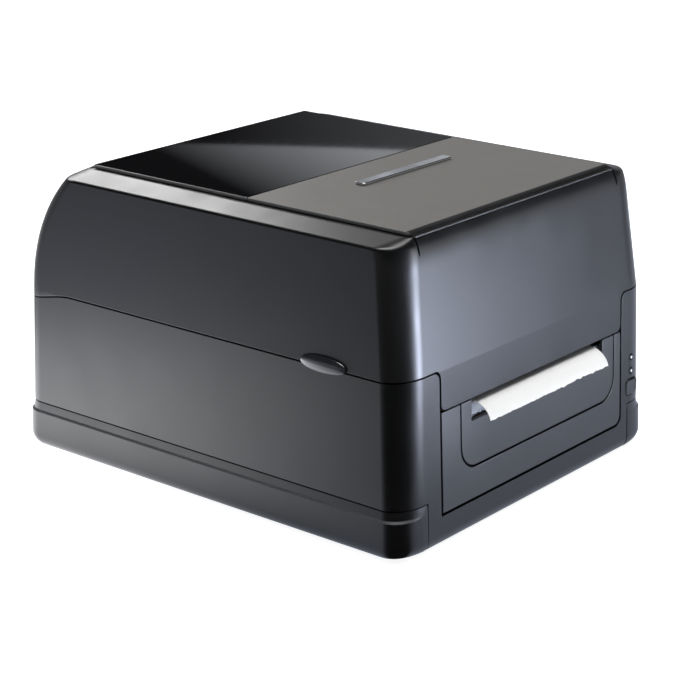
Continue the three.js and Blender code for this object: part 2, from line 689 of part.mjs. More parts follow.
const MOTOR = { half: 17.5, length: 34 };
const motorCase = alongX(
  roundedRect(-MOTOR.half, MOTOR.half, -MOTOR.half, MOTOR.half, 4),
  insideLeft + GAP,
  insideLeft + GAP + MOTOR.length,
);
const motorBody = cut(
  motorCase.translate(0, MOTOR_PINION.y, MOTOR_PINION.z),
  rodX(3, insideLeft - 1, insideLeft + 20, MOTOR_PINION.y, MOTOR_PINION.z, 16),
);
add("stepper_motor", motorBody, STEEL);
add("motor_shaft", rodX(2.2, GEAR_X0 - 1.4, insideLeft + 18, MOTOR_PINION.y, MOTOR_PINION.z, 14), STEEL);
add("motor_pinion", gear(MOTOR_PINION, 2.2 + GAP), GEAR_WHITE);

// The tear bar stands right behind the slot, a little under the web.
const tearBarOutline = polygon([
  [-129.8, 58],
  [-124.2, 58],
  [-124.2, 66.4],
  [-128.4, 67.8],
  [-129.8, 67.8],
]);
add("tear_bar", alongX(tearBarOutline, insideLeft + GAP, insideRight - GAP), STEEL);

add("web_bar", rodX(WEB_BAR.r, insideLeft + GAP, insideRight - GAP, WEB_BAR.y, WEB_BAR.z, 16), STEEL);

const SENSOR = { y: -85, rail: 1.5, halfWidth: 6 };
const SENSOR_RAIL_Z = 58.8;
add(
  "sensor_rail",
  box(
    insideLeft + GAP,
    insideRight - GAP,
    SENSOR.y - SENSOR.rail,
    SENSOR.y + SENSOR.rail,
    SENSOR_RAIL_Z - SENSOR.rail,
    SENSOR_RAIL_Z + SENSOR.rail,
  ),
  STEEL,
);
const sensorBlock = cut(
  box(MID_X - SENSOR.halfWidth, MID_X + SENSOR.halfWidth, SENSOR.y - 5, SENSOR.y + 5, 55.9, 62.4),
  box(
    MID_X - 20,
    MID_X + 20,
    SENSOR.y - SENSOR.rail - GAP,
    SENSOR.y + SENSOR.rail + GAP,
    SENSOR_RAIL_Z - SENSOR.rail - GAP,
    SENSOR_RAIL_Z + SENSOR.rail + GAP,
  ),
);
add("media_sensor", sensorBlock, FILM);

const WEB_LEFT = MID_X - WEB_WIDTH / 2;
const WEB_RIGHT = MID_X + WEB_WIDTH / 2;
for (const [side, label] of [[-1, "left"], [1, "right"]]) {
  const edge = MID_X + side * (WEB_WIDTH / 2 + 0.6);
  const span = (near, far) => [Math.min(near, far), Math.max(near, far)];
  const cheek = box(...span(edge, edge + side * 2.6), -72, -60, 55.9, 69.5);
  const sole = box(...span(edge - side * 16, edge + side * 2.6), -72, -60, 55.9, 58);
  add(`web_guide_${label}`, join(cheek, sole), ACCENT);
}

// ---------------------------------------------------------------- label roll and its holders

const HOLDER_BASE = { x0: -92, x1: 104, y0: 38, y1: 72, z0: FRAME_FOOT_Z, z1: 8.4 };
const RACK_Z0 = 8.8;
const RACK_Z1 = 12.8;
const RACK_PITCH = Math.PI * GEAR_MODULE;
const RACK_TEETH_BEFORE = 2;
const RACK_TEETH_AFTER = 6;
const PINION_TEETH = 10;
const PINION_R = (GEAR_MODULE * PINION_TEETH) / 2;

const holderBase = join(
  box(HOLDER_BASE.x0, HOLDER_BASE.x1, HOLDER_BASE.y0, HOLDER_BASE.y1, HOLDER_BASE.z0, HOLDER_BASE.z1),
  box(HOLDER_BASE.x0, HOLDER_BASE.x1, HOLDER_BASE.y0, HOLDER_BASE.y0 + 2.4, 8, 12),
  box(HOLDER_BASE.x0, HOLDER_BASE.x1, HOLDER_BASE.y1 - 2.4, HOLDER_BASE.y1, 8, 12),
  rodZ(1.6, 8, 14, MID_X, ROLL.y, 12),
);
add("holder_base", holderBase, GREY_PART);

const pinionWheel = alongZ(gearShape(PINION_TEETH, -Math.PI / 2), RACK_Z0, RACK_Z1);
const holderPinion = cut(pinionWheel, rodZ(1.6 + GAP, 0, 30, 0, 0, 12)).translate(MID_X, ROLL.y, 0);
add("holder_pinion", holderPinion, GEAR_WHITE);

// A bar whose pitch line touches the pinion; side -1 is in front of the pinion, +1 behind it. It is
// toothed only where the pinion meets it as it slides.
function rack(x0, x1, side) {
  const pitchY = ROLL.y + side * PINION_R;
  const root = pitchY + side * 1.2;
  const tip = pitchY - side * 0.85;
  const back = pitchY + side * 4.6;
  const outline = [[x0, back], [x0, root]];
  const first = side > 0 ? -RACK_TEETH_BEFORE : -RACK_TEETH_AFTER;
  for (let k = first + 0.5; k < first + RACK_TEETH_BEFORE + RACK_TEETH_AFTER; k++) {
    const middle = MID_X + k * RACK_PITCH;
    outline.push([middle - 0.3 * RACK_PITCH, root], [middle - 0.12 * RACK_PITCH, tip]);
    outline.push([middle + 0.12 * RACK_PITCH, tip], [middle + 0.3 * RACK_PITCH, root]);
  }
  outline.push([x1, root], [x1, back]);
  return alongZ(polygon(side < 0 ? outline : outline.reverse()), RACK_Z0, RACK_Z1);
}

function holderArm(side) {
  const face = MID_X + side * (WEB_WIDTH / 2 + 0.6);
  const outerFace = face + side * 5;
  const [x0, x1] = side < 0 ? [outerFace, face] : [face, outerFace];
  const outline = new THREE.Shape();
  outline.moveTo(ROLL.y - 13, RACK_Z0);
  outline.lineTo(ROLL.y + 13, RACK_Z0);
  outline.lineTo(ROLL.y + 15, ROLL.z);
  outline.absarc(ROLL.y, ROLL.z, 15, 0, Math.PI, false);
  const arm = alongX(outline, x0, x1);
  const hubEnd = face - side * 8;
  const hub = rodX(ROLL.bore - 0.8, Math.min(hubEnd, face), Math.max(hubEnd, face) + 0.5, ROLL.y, ROLL.z, 24);
  const far = MID_X - side * 28;
  const bar = side > 0 ? rack(far, outerFace, -1) : rack(outerFace, far, 1);
  return join(arm, hub, bar);
}
add("holder_left", holderArm(-1), ACCENT);
add("holder_right", holderArm(1), ACCENT);

const rollX0 = WEB_LEFT;
const rollX1 = WEB_RIGHT;
add("roll_core", tubeX(ROLL.core, ROLL.bore, rollX0, rollX1, ROLL.y, ROLL.z, 32), CARD);
add("label_roll", tubeX(ROLL.r, ROLL.core + GAP, rollX0, rollX1, ROLL.y, ROLL.z, 48), PAPER);

// Where a straight run from a point touches a circle; side +1 turns left of the centre, -1 right.
function tangentPoint(from, centre, radius, side) {
  const toCentre = new THREE.Vector2(centre.y - from.x, centre.z - from.y);
  const angle = toCentre.angle() + side * Math.asin(radius / toCentre.length());
  const length = Math.sqrt(toCentre.lengthSq() - radius * radius);
  return new THREE.Vector2(Math.cos(angle), Math.sin(angle)).multiplyScalar(length).add(from);
}

// The web leaves the top of the roll, bends over the bar, runs over the platen and curls out.
function webPath() {
  const bend = new THREE.Vector2(WEB_BAR.y, WEB_BAR.z + WEB_BAR.r + 0.5);
  const tangent = tangentPoint(bend, ROLL, ROLL.r + 0.5, 1);
  const overPlaten = PLATEN.z + PLATEN.r + 0.45;
  const points = [tangent, bend, new THREE.Vector2(PLATEN.y, overPlaten)];
  const curl = { y: -127, z: overPlaten - 0.1, r: 12.6, sweep: 82 };
  const steps = 7;
  for (let i = 0; i <= steps; i++) {
    const a = radians((curl.sweep * i) / steps);
    const u = curl.y - 1.1 * curl.r * Math.sin(a);
    points.push(new THREE.Vector2(u, curl.z - 0.86 * curl.r * (1 - Math.cos(a))));
  }
  return points;
}

// A thin strip on both sides of a path, as an outline.
function strip(path, thickness) {
  const left = [];
  const right = [];
  path.forEach((point, i) => {
    const before = path[Math.max(0, i - 1)];
    const after = path[Math.min(path.length - 1, i + 1)];
    const along = after.clone().sub(before).normalize();
    const across = new THREE.Vector2(-along.y, along.x).multiplyScalar(thickness / 2);
    left.push([point.x + across.x, point.y + across.y]);
    right.push([point.x - across.x, point.y - across.y]);
  });
  const outline = polygon([...right, ...left.reverse()]);
  return outline;
}
add("label_web", alongX(strip(webPath(), WEB_THICKNESS), WEB_LEFT, WEB_RIGHT), PAPER);

// ---------------------------------------------------------------- head module

const HEAD_LEFT = MID_X - 56;
const HEAD_RIGHT = MID_X + 56;
const HEAD_Z = 70.1;

function moduleSide(x0, x1) {
  const outline = polygon([
    [-121, 74],
    [-95, 74],
    [-88, 96],
    [-64, 100],
    [-40, 92],
    [-18, 88.5],
    [-7, 91],
    [-7, 101],
    [-24, 126],
    [-30, 129],
    [-84, 127],
    [-98, 118],
    [-112, 108],
    [-121, 108],
  ]);
  return cut(
    alongX(outline, x0, x1),
    rodX(3 + GAP, x0 - 1, x1 + 1, MODULE_PIVOT.y, MODULE_PIVOT.z, 20),
    rodX(3.2 + GAP, x0 - 1, x1 + 1, SUPPLY.y, SUPPLY.z, 20),
    rodX(3.2 + GAP, x0 - 1, x1 + 1, REWIND.y, REWIND.z, 20),
  );
}

const innerLeft = MODULE_LEFT + MODULE_PLATE;
const innerRight = MODULE_RIGHT - MODULE_PLATE;
const moduleFrame = join(
  moduleSide(MODULE_LEFT, innerLeft),
  moduleSide(innerRight, MODULE_RIGHT),
  box(innerLeft - 1, innerRight + 1, -117, -99, 88, 90.5),
  box(innerLeft - 1, innerRight + 1, -117, -114.5, 88, 105),
  rodX(2, innerLeft - 1, innerRight + 1, -116, 105, 12),
  box(innerLeft - 1, innerRight + 1, -18, -10, 100, 104),
);
add("module_frame", moduleFrame, FRAME);
add(
  "module_pivot_rod",
  rodX(3, FRAME_LEFT - 0.5, FRAME_RIGHT + 0.5, MODULE_PIVOT.y, MODULE_PIVOT.z, 18),
  STEEL,
);

add("print_head", box(HEAD_LEFT, HEAD_RIGHT, -119.6, -100, HEAD_Z, HEAD_Z + 2.4), GREY_PART);
const finPositions = [-116.6, -112.2, -107.8, -103.4];
const heatSink = join(
  box(HEAD_LEFT, HEAD_RIGHT, -118.6, -99, HEAD_Z + 2.7, HEAD_Z + 6.5),
  ...finPositions.map((y) => box(HEAD_LEFT, HEAD_RIGHT, y, y + 1.8, HEAD_Z + 6, HEAD_Z + 12)),
);
add("heat_sink", heatSink, ALUMINIUM);

// Two springs press the head on the platen, between the fins' tops and the module's cross plate.
class Helix extends THREE.Curve {
  constructor(radius, height, turns) {
    super();
    Object.assign(this, { radius, height, turns });
  }
  getPoint(t, target = new THREE.Vector3()) {
    const a = 2 * Math.PI * this.turns * t;
    return target.set(this.radius * Math.cos(a), this.radius * Math.sin(a), this.height * t);
  }
}
function spring(x, y, z0, z1, radius, wire, turns) {
  const path = new Helix(radius, z1 - z0 - 2 * wire, turns);
  const section = polygon([0, 1, 2, 3, 4, 5].map((i) => radians(60 * i)).map((a) => [wire * Math.cos(a), wire * Math.sin(a)]));
  const coil = new THREE.ExtrudeGeometry(section, { steps: Math.round(turns * 10), extrudePath: path });
  return coil.translate(x, y, z0 + wire);
}
const springBottom = HEAD_Z + 12 + GAP;
for (const [side, label] of [[-1, "left"], [1, "right"]]) {
  add(`head_spring_${label}`, spring(MID_X + side * 30, -108.6, springBottom, 87.7, 3.6, 0.5, 3), STEEL);
}

function spindle(y, z, x0, x1) {
  return join(
    rodX(6, innerLeft + 0.8, innerRight - 0.8, y, z, 20),
    rodX(3.2, x0, x1, y, z, 16),
    box(innerLeft + 0.8, innerLeft + 3, y - 7.6, y + 7.6, z - 1.4, z + 1.4),
  );
}
add("supply_spindle", spindle(SUPPLY.y, SUPPLY.z, MODULE_LEFT - 0.5, MODULE_RIGHT + 0.5), FILM);
add("ribbon_supply", tubeX(SUPPLY.r, 6.4, WEB_LEFT, WEB_RIGHT, SUPPLY.y, SUPPLY.z, 32), FILM);
add("rewind_spindle", spindle(REWIND.y, REWIND.z, GEAR_X0 - 2.5, MODULE_RIGHT + 0.5), FILM);
add("ribbon_rewind", tubeX(REWIND.r, 6.4, WEB_LEFT, WEB_RIGHT, REWIND.y, REWIND.z, 32), FILM);
add("rewind_gear", gear(REWIND, 3.2 + GAP), GEAR_WHITE);

// The ribbon runs from the supply roll, under the head, up over the front bar to the rewind roll.
const FILM_Z = HEAD_Z - 0.4;
const headBack = new THREE.Vector2(-97.6, FILM_Z + 3);
const overBar = new THREE.Vector2(-118.6, 107.2);
const filmPath = [
  tangentPoint(headBack, SUPPLY, SUPPLY.r + 0.4, -1),
  headBack,
  new THREE.Vector2(-99.4, FILM_Z),
  new THREE.Vector2(-120.4, FILM_Z),
  new THREE.Vector2(-121.4, FILM_Z + 2),
  overBar,
  tangentPoint(overBar, REWIND, REWIND.r + 0.4, 1),
];
add("ribbon_film", alongX(strip(filmPath, 0.2), WEB_LEFT, WEB_RIGHT), FILM);

export default printer;
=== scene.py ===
"""The looks of a desktop label printer: casings, label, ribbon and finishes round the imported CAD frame.

Outlines are in millimetres, in the frame's own axes: +X right as seen from the front, the front
faces -Y, +Z up. Meshes are scaled to metres when they are made.
"""

import json
import math
import random

import bmesh
import bpy
from mathutils import Matrix, Vector, noise


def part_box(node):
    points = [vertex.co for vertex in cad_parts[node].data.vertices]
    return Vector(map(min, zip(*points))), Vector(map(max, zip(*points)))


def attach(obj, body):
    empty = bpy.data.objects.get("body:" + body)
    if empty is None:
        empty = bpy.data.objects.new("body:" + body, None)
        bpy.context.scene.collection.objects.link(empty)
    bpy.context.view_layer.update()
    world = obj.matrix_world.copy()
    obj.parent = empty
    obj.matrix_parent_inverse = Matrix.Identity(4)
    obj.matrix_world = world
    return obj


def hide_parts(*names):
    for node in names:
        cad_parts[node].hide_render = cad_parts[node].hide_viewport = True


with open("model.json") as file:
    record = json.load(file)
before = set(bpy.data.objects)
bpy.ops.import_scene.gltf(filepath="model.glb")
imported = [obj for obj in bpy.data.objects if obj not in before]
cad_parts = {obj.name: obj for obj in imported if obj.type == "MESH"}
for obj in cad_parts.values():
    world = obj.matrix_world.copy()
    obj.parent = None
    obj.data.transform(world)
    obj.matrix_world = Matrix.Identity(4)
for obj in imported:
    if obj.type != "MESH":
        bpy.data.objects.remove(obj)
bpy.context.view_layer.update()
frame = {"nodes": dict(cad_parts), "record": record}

MM = 0.001

# ---------------------------------------------------------------- camera

CAMERA_PLACE = (-0.85504, -0.70198, 0.43263)
CAMERA_TARGET = (-0.00537, -0.00471, 0.06418)
CAMERA_LENS = 110.52


def add_camera():
    camera = bpy.data.cameras.new("camera")
    camera.lens = CAMERA_LENS
    camera.sensor_width = 36
    camera.clip_start = 0.01
    camera.clip_end = 60
    holder = bpy.data.objects.new("camera", camera)
    bpy.context.scene.collection.objects.link(holder)
    holder.location = CAMERA_PLACE
    look = Vector(CAMERA_TARGET) - Vector(CAMERA_PLACE)
    holder.rotation_mode = "QUATERNION"
    holder.rotation_quaternion = look.to_track_quat("-Z", "Y")
    bpy.context.scene.camera = holder


add_camera()

# ---------------------------------------------------------------- driving dimensions, as in the CAD

SEAM_Z = 93
HALF_WIDTH = 113
HALF_DEPTH = 132
COVER_TOP_Z = 161.5
WALL = 2.6
GAP = 0.3
PANEL_GAP = 1.25  # between the cover's tongue, the front panel and the columns beside them
SHUT_LINE = 0.6
FRONT_RADIUS = 13
FRONT_REACH = 19  # the front corners turn slowly at first: they reach this far along the front
REAR_RADIUS = 12
BASE_FRONT_LEAN = math.radians(2.3)
BASE_REAR_LEAN = math.radians(2)
BASE_SIDE_LEAN = math.radians(0.94)
COVER_FRONT_LEAN = math.radians(7)
COVER_SIDE_LEAN = math.radians(4.15)
COVER_BACK_RADIUS = 84
COVER_BACK_Z = 98

FLOOR_Z = 0.8
TRAY_TOP_Z = 27
TRAY_RIDGE_Z = 21.3
TRAY_LEDGE_Z = 22.3
TRAY_PROUD = 1.1
TRAY_FRONT_END = 93
TRAY_FLUSH = {"proud": 0.15, "half_width": 100, "fade": 11}  # on the front, between the corners
BOTTOM_ROUND_Z = 8
BOTTOM_ROUND_IN = 5
FOOT = {"x": 92, "front": -108, "rear": 112, "r": 9, "top": 2}

SHOULDER_Z = 158.3
SHOULDER_WALL = 1.6
MID_SHOULDER = {"z": 160.2, "half_width": 99.2, "corner": 8.3, "reach": 11.9}
CROWN = {"half_width": 93, "front": -120.8, "corner": 5, "reach": 7}
PLATE_BED = {"x": 90.4, "front": -119.6, "rear": 100.4, "corner": 2, "z": 160.9}
DIP_START = 95
DIP_END = 130
DIP_DEPTH = 5

DOORWAY = {"left": -81.5, "right": 86.4, "bottom": 16.7, "top": 71.3, "corner": 4.5}
OUTLET = {"left": -64.6, "right": 78.8, "bottom": 34.8, "corner": 13}
SLOT = {"left": -54.8, "right": 66.8, "bottom": 60}
PIVOT = {"y": 137, "z": 89.5, "knuckle": 4.4, "pin": 2, "x": 70}
EAR = {"half": 2.4, "out": 7.5, "cover_half": 4.6}  # widths across a hinge, and the housing ears' places
BACK_PORTS = {
    "power": (-92, -78, 46, 66),
    "dc": (76, 88, 10.2, 21.5),
    "usb": (50, 62, 10.2, 21),
    "serial": (8, 39, 10.2, 22.6),
}
LIP = {"y": -84, "proud": 2.5, "half_length": 14.5, "half_height": 4.6, "rise": 1.8}
FRONT_RIM = {"y": (-121.25, -120.25), "z": (160.7, 161.85), "corner": 0.4, "end": 87.8}
FRONT_BEND = {"start": 145, "in": 2.8}  # how far the top of the cover's front bends back
NOTCH = {"x": 88.7, "half_width": 0.5, "top": 166, "out": -131}
NOTCH_FLOOR = [(-119.3, 160.2), (-120.3, 159.8), (-121.6, 157.4), (-123.2, 153.6), (-126, 151.5)]
LED_X = 96.8
LED_HEIGHTS = (53.6, 45.7)
LED_R = 1.7
BUTTON = (91.2, 102.6, 31.6, 41.2)
BUTTON_CORNER = 2.6
PLATE_THICK = 2.4
TONGUE_CORNER = 3.6

ROLL = {"y": 55, "z": 74, "r": 50, "core": 14.5}
SUPPLY = {"y": -36, "z": 118}
REWIND = {"y": -77.4, "z": 116.1}
WEB = {"left": -49, "right": 61, "thickness": 0.24}
WEB_BEND = {"y": -50, "z": 61.9}
PLATEN = {"y": -113.5, "z": 60.7, "r": 7.8}
CURL = {"y": -127, "r": 12.6, "sweep": 84}
LAYERS = {"pitch": 1.7, "stray": 0.14}  # of the label roll, as its side faces show them

CORNER_STEPS = 18
EDGE = 0.35  # the small radius on every moulded edge
CUT_X = 130  # cutters reach this far to the left and right
CUT_Y = 150  # and this far to the front and rear
FRONT_INSIDE = -118  # cutters through the front wall end here
BACK_INSIDE = 120  # and those through the rear wall start here

# ---------------------------------------------------------------- mesh helpers


def new_object(name, points, faces):
    mesh = bpy.data.meshes.new(name)
    mesh.from_pydata([(x * MM, y * MM, z * MM) for x, y, z in points], [], faces)
    work = bmesh.new()
    work.from_mesh(mesh)
    bmesh.ops.recalc_face_normals(work, faces=work.faces)
    work.to_mesh(mesh)
    work.free()
    made = bpy.data.objects.new(name, mesh)
    bpy.context.scene.collection.objects.link(made)
    return made


def loft(name, rings):
    """A closed skin over rings with equal point counts."""
    count = len(rings[0])
    points = [p for ring in rings for p in ring]
    faces = []
    for level in range(len(rings) - 1):
        for i in range(count):
            j = (i + 1) % count
            low = level * count
            faces.append((low + i, low + j, low + count + j, low + count + i))
    faces.append(tuple(range(count))[::-1])
    faces.append(tuple(len(points) - count + i for i in range(count)))
    return new_object(name, points, faces)


AXES = {
    "x": lambda along, u, v: (along, u, v),
    "y": lambda along, u, v: (u, along, v),
    "z": lambda along, u, v: (u, v, along),
}


def prism(name, outline, axis, start, end):
    """An outline in the plane across the axis, pulled along it."""
    place = AXES[axis]
    return loft(name, [[place(along, u, v) for u, v in outline] for along in (start, end)])


def block(x0, x1, y0, y1, z0, z1):
    return prism("block", [(x0, y0), (x1, y0), (x1, y1), (x0, y1)], "z", z0, z1)


def arc(cu, cv, r, start, end, steps):
    """Points on a circle from one angle to the other, in degrees."""
    turns = [math.radians(start + (end - start) * i / steps) for i in range(steps + 1)]
    return [(cu + r * math.cos(a), cv + r * math.sin(a)) for a in turns]


def rounded_rect(u0, u1, v0, v1, r, steps=8):
    return (
        arc(u1 - r, v0 + r, r, -90, 0, steps)
        + arc(u1 - r, v1 - r, r, 0, 90, steps)
        + arc(u0 + r, v1 - r, r, 90, 180, steps)
        + arc(u0 + r, v0 + r, r, 180, 270, steps)
    )


def circle(cu, cv, r, steps=48):
    return arc(cu, cv, r, 0, 360 - 360 / steps, steps - 1)


def rod(axis, r, start, end, u, v, steps=48):
    return prism("rod", circle(u, v, r, steps), axis, start, end)


def bake_modifiers(made):
    """Replaces the mesh by what its modifiers make of it."""
    graph = bpy.context.evaluated_depsgraph_get()
    result = bpy.data.meshes.new_from_object(made.evaluated_get(graph))
    made.modifiers.clear()
    made.data = result


def combine(made, others, operation):
    """Booleans made with each of the others, which are used up."""
    for other in others:
        step = made.modifiers.new("combine", "BOOLEAN")
        step.operation = operation
        step.solver = "MANIFOLD"
        step.object = other
        bake_modifiers(made)
        bpy.data.objects.remove(other)
    return made


def cut(made, *others):
    return combine(made, others, "DIFFERENCE")


def join(made, *others):
    return combine(made, others, "UNION")


def bevel_levels(made, heights, width, segments):
    """Rounds the edges that lie at these heights."""
    work = bmesh.new()
    work.from_mesh(made.data)
    edges = [
        e
        for e in work.edges
        if any(all(abs(v.co.z / MM - z) < 0.01 for v in e.verts) for z in heights)
        and len(e.link_faces) == 2
        and e.calc_face_angle(0) > 0.05
    ]
    bmesh.ops.bevel(
        work,
        geom=edges,
        offset=width * MM,
        segments=segments,
        profile=0.5,
        affect="EDGES",
        clamp_overlap=True,
    )
    work.to_mesh(made.data)
    work.free()


def tidy_mesh(made, merge=0.03, flat=0.4):
    """Merges points that a cut left close together and dissolves flat seams between faces."""
    work = bmesh.new()
    work.from_mesh(made.data)
    bmesh.ops.remove_doubles(work, verts=work.verts, dist=merge * MM)
    bmesh.ops.dissolve_limit(
        work,
        angle_limit=math.radians(flat),
        verts=work.verts,
        edges=work.edges,
        delimit=set(),
    )
    work.to_mesh(made.data)
    work.free()


def smooth(made, angle=40):
    """Smooth shading except over edges sharper than this."""
    made.data.shade_smooth()
    made.data.set_sharp_from_angle(angle=math.radians(angle))
    return made


def round_edges(made, width=EDGE, segments=2, angle=34):
    """A small round on every sharp edge, with normals that keep the flats flat."""
    tidy_mesh(made)
    bevel = made.modifiers.new("edges", "BEVEL")
    bevel.width = width * MM
    bevel.segments = segments
    bevel.limit_method = "ANGLE"
    bevel.angle_limit = math.radians(angle)
    bevel.use_clamp_overlap = False
    bevel.miter_outer = "MITER_SHARP"
    bake_modifiers(made)
    smooth(made)
    weigh = made.modifiers.new("normals", "WEIGHTED_NORMAL")
    weigh.keep_sharp = True
    bake_modifiers(made)
    return made


def box_mm(node):
    low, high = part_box(node)
    return low / MM, high / MM


# ---------------------------------------------------------------- levels of the case


def bottom_inset(z):
    t = min(1, max(0, (BOTTOM_ROUND_Z - z) / (BOTTOM_ROUND_Z - FLOOR_Z)))
    return BOTTOM_ROUND_IN * (1 - math.sqrt(1 - 0.96 * t * t))


def base_level(z, proud=0.0):
    grow = proud - bottom_inset(z)
    below = SEAM_Z - z
    return {
        "z": z,
        "half_width": HALF_WIDTH + below * math.tan(BASE_SIDE_LEAN) + grow,
        "front": -HALF_DEPTH - below * math.tan(BASE_FRONT_LEAN) - grow,
        "rear": HALF_DEPTH + below * math.tan(BASE_REAR_LEAN) + grow,
    }


def cover_level(z):
    above = z - SEAM_Z
    up = max(0, z - COVER_BACK_Z)
    return {
        "z": z,
        "half_width": HALF_WIDTH - above * math.tan(COVER_SIDE_LEAN),
        "front": -HALF_DEPTH + above * math.tan(COVER_FRONT_LEAN),
        "rear": HALF_DEPTH - COVER_BACK_RADIUS + math.sqrt(COVER_BACK_RADIUS**2 - up**2),
    }


def case_ring(level, inset=0.0):
    w = level["half_width"] - inset
    f = level["front"] + inset
    b = level["rear"] - inset
    rf = level.get("corner", FRONT_RADIUS) - inset
    reach = level.get("reach", FRONT_REACH) - inset
    rr = REAR_RADIUS - inset
    front = [(reach * u, rf * v) for u, v in arc(0, 0, 1, -90, 0, CORNER_STEPS)]
    outline = (
        [(w - reach + u, f + rf + v) for u, v in front]
        + arc(w - rr, b - rr, rr, 0, 90, CORNER_STEPS)
        + arc(rr - w, b - rr, rr, 90, 180, CORNER_STEPS)
        + [(reach - w - u, f + rf + v) for u, v in reversed(front)]
    )
    return [(x, y, level["z"]) for x, y in outline]


def steps_between(low, high, count):
    return [low + (high - low) * i / count for i in range(count + 1)]


def seam_height(y):
    t = min(1, max(0, (y - DIP_START) / (DIP_END - DIP_START)))
    return SEAM_Z - DIP_DEPTH * t * t * (3 - 2 * t)


def seam_cutter(above, offset):
    far = 200 if above else 20
    outline = [(-160, SEAM_Z + offset)]
    outline += [(y, seam_height(y) + offset) for y in steps_between(DIP_START, DIP_END, 16)]
    outline += [(160, SEAM_Z - DIP_DEPTH + offset), (160, far), (-160, far)]
    return prism("seam", outline, "x", -CUT_X, CUT_X)


def doorway_outline(inset, top=120):
    """The opening between the two front columns, whose inner top corners are rounded."""
    left = DOORWAY["left"]
    right = DOORWAY["right"]
    bottom = DOORWAY["bottom"] + inset
    corner = DOORWAY["corner"]
    foot = 5
    return (
        [(left + inset, bottom)]
        + arc(right - inset - foot, bottom + foot, foot, -90, 0, 6)
        + arc(right + corner, SEAM_Z - corner, corner + inset, 180, 90, 8)
        + [(right + corner, top), (left - corner, top)]
        + arc(left - corner, SEAM_Z - corner, corner + inset, 90, 0, 8)
    )


def tongue_outline():
    """The cover's tongue: it fills the doorway's top and has round lower corners."""
    left = DOORWAY["left"] + PANEL_GAP
    right = DOORWAY["right"] - PANEL_GAP
    turn = TONGUE_CORNER
    low = DOORWAY["top"] + SHUT_LINE + turn
    upper = [point for point in doorway_outline(PANEL_GAP) if point[1] > low]
    return arc(left + turn, low, turn, 180, 270, 8) + arc(right - turn, low, turn, 270, 360, 8) + upper


def front_plate(name, outline, thickness):
    """A plate lying in the leaning front face of the base."""
    made = prism(name, outline, "y", 0, thickness)
    lean = (
        Matrix.Translation((0, -HALF_DEPTH * MM, SEAM_Z * MM))
        @ Matrix.Rotation(-BASE_FRONT_LEAN, 4, "X")
        @ Matrix.Translation((0, 0, -SEAM_Z * MM))
    )
    made.data.transform(lean)
    return made


# ---------------------------------------------------------------- casing pieces

BOTTOM_LEVELS = [FLOOR_Z, 0.95, 1.2, 1.6, 2.2, 3, 4, 5.2, 6.5, BOTTOM_ROUND_Z]


def hinge_ear(x0, x1, on_cover):
    """A knuckle with its arm to the rear wall, which rises on the cover and falls on the housing."""
    y, z, r = PIVOT["y"], PIVOT["z"], PIVOT["knuckle"]
    wall = HALF_DEPTH - 1
    if on_cover:
        arm = [(wall, z + 1.5), (y, z), (y + 3.6, z + 2.4), (y - 1, z + 10), (wall, z + 15)]
    else:
        wall += 0.6
        arm = [(wall, z - 16), (y + 3.6, z - 2.6), (y, z), (y - 3.4, z - 2.2), (wall, z - 2.2)]
    ear = join(rod("x", r, x0, x1, y, z), prism("arm", arm, "x", x0, x1))
    return cut(ear, rod("x", PIVOT["pin"] + GAP, x0 - 1, x1 + 1, y, z))


def make_lower_housing():
    heights = BOTTOM_LEVELS + steps_between(BOTTOM_ROUND_Z, 95, 4)[1:]
    made = loft("housing_shell", [case_ring(base_level(z)) for z in heights])
    inside = [0] + heights[:-1] + [97]
    cut(made, loft("inside", [case_ring(base_level(z), WALL) for z in inside]))
    low = TRAY_TOP_Z + GAP
    end = TRAY_FRONT_END - GAP
    cut(
        made,
        seam_cutter(True, 0),
        block(-CUT_X, CUT_X, -128, CUT_Y, -5, low),
        block(-CUT_X, -end, -CUT_Y, -127, -5, low),
        block(end, CUT_X, -CUT_Y, -127, -5, low),
        prism("door", doorway_outline(0), "y", -CUT_Y, FRONT_INSIDE),
    )
    for x0, x1, z0, z1 in BACK_PORTS.values():
        cut(made, block(x0, x1, BACK_INSIDE, CUT_Y, z0, z1))
    cut(made, prism("hole", rounded_rect(*BUTTON, BUTTON_CORNER), "y", -145, -125))
    for z in LED_HEIGHTS:
        cut(made, rod("y", LED_R + GAP, -145, -125, LED_X, z, 32))
    for side in (-1, 1):
        for offset in (-EAR["out"], EAR["out"]):
            middle = side * PIVOT["x"] + offset
            join(made, hinge_ear(middle - EAR["half"], middle + EAR["half"], False))
    return round_edges(made)


def tray_point(x, y, z, proud):
    """On the front, between the case's corners, the tray is nearly flush with the housing."""
    if y > 0:
        return x, y, z
    flush = 1 - min(1, max(0, (abs(x) - TRAY_FLUSH["half_width"]) / TRAY_FLUSH["fade"]))
    return x, y + max(0, proud - TRAY_FLUSH["proud"]) * flush, z


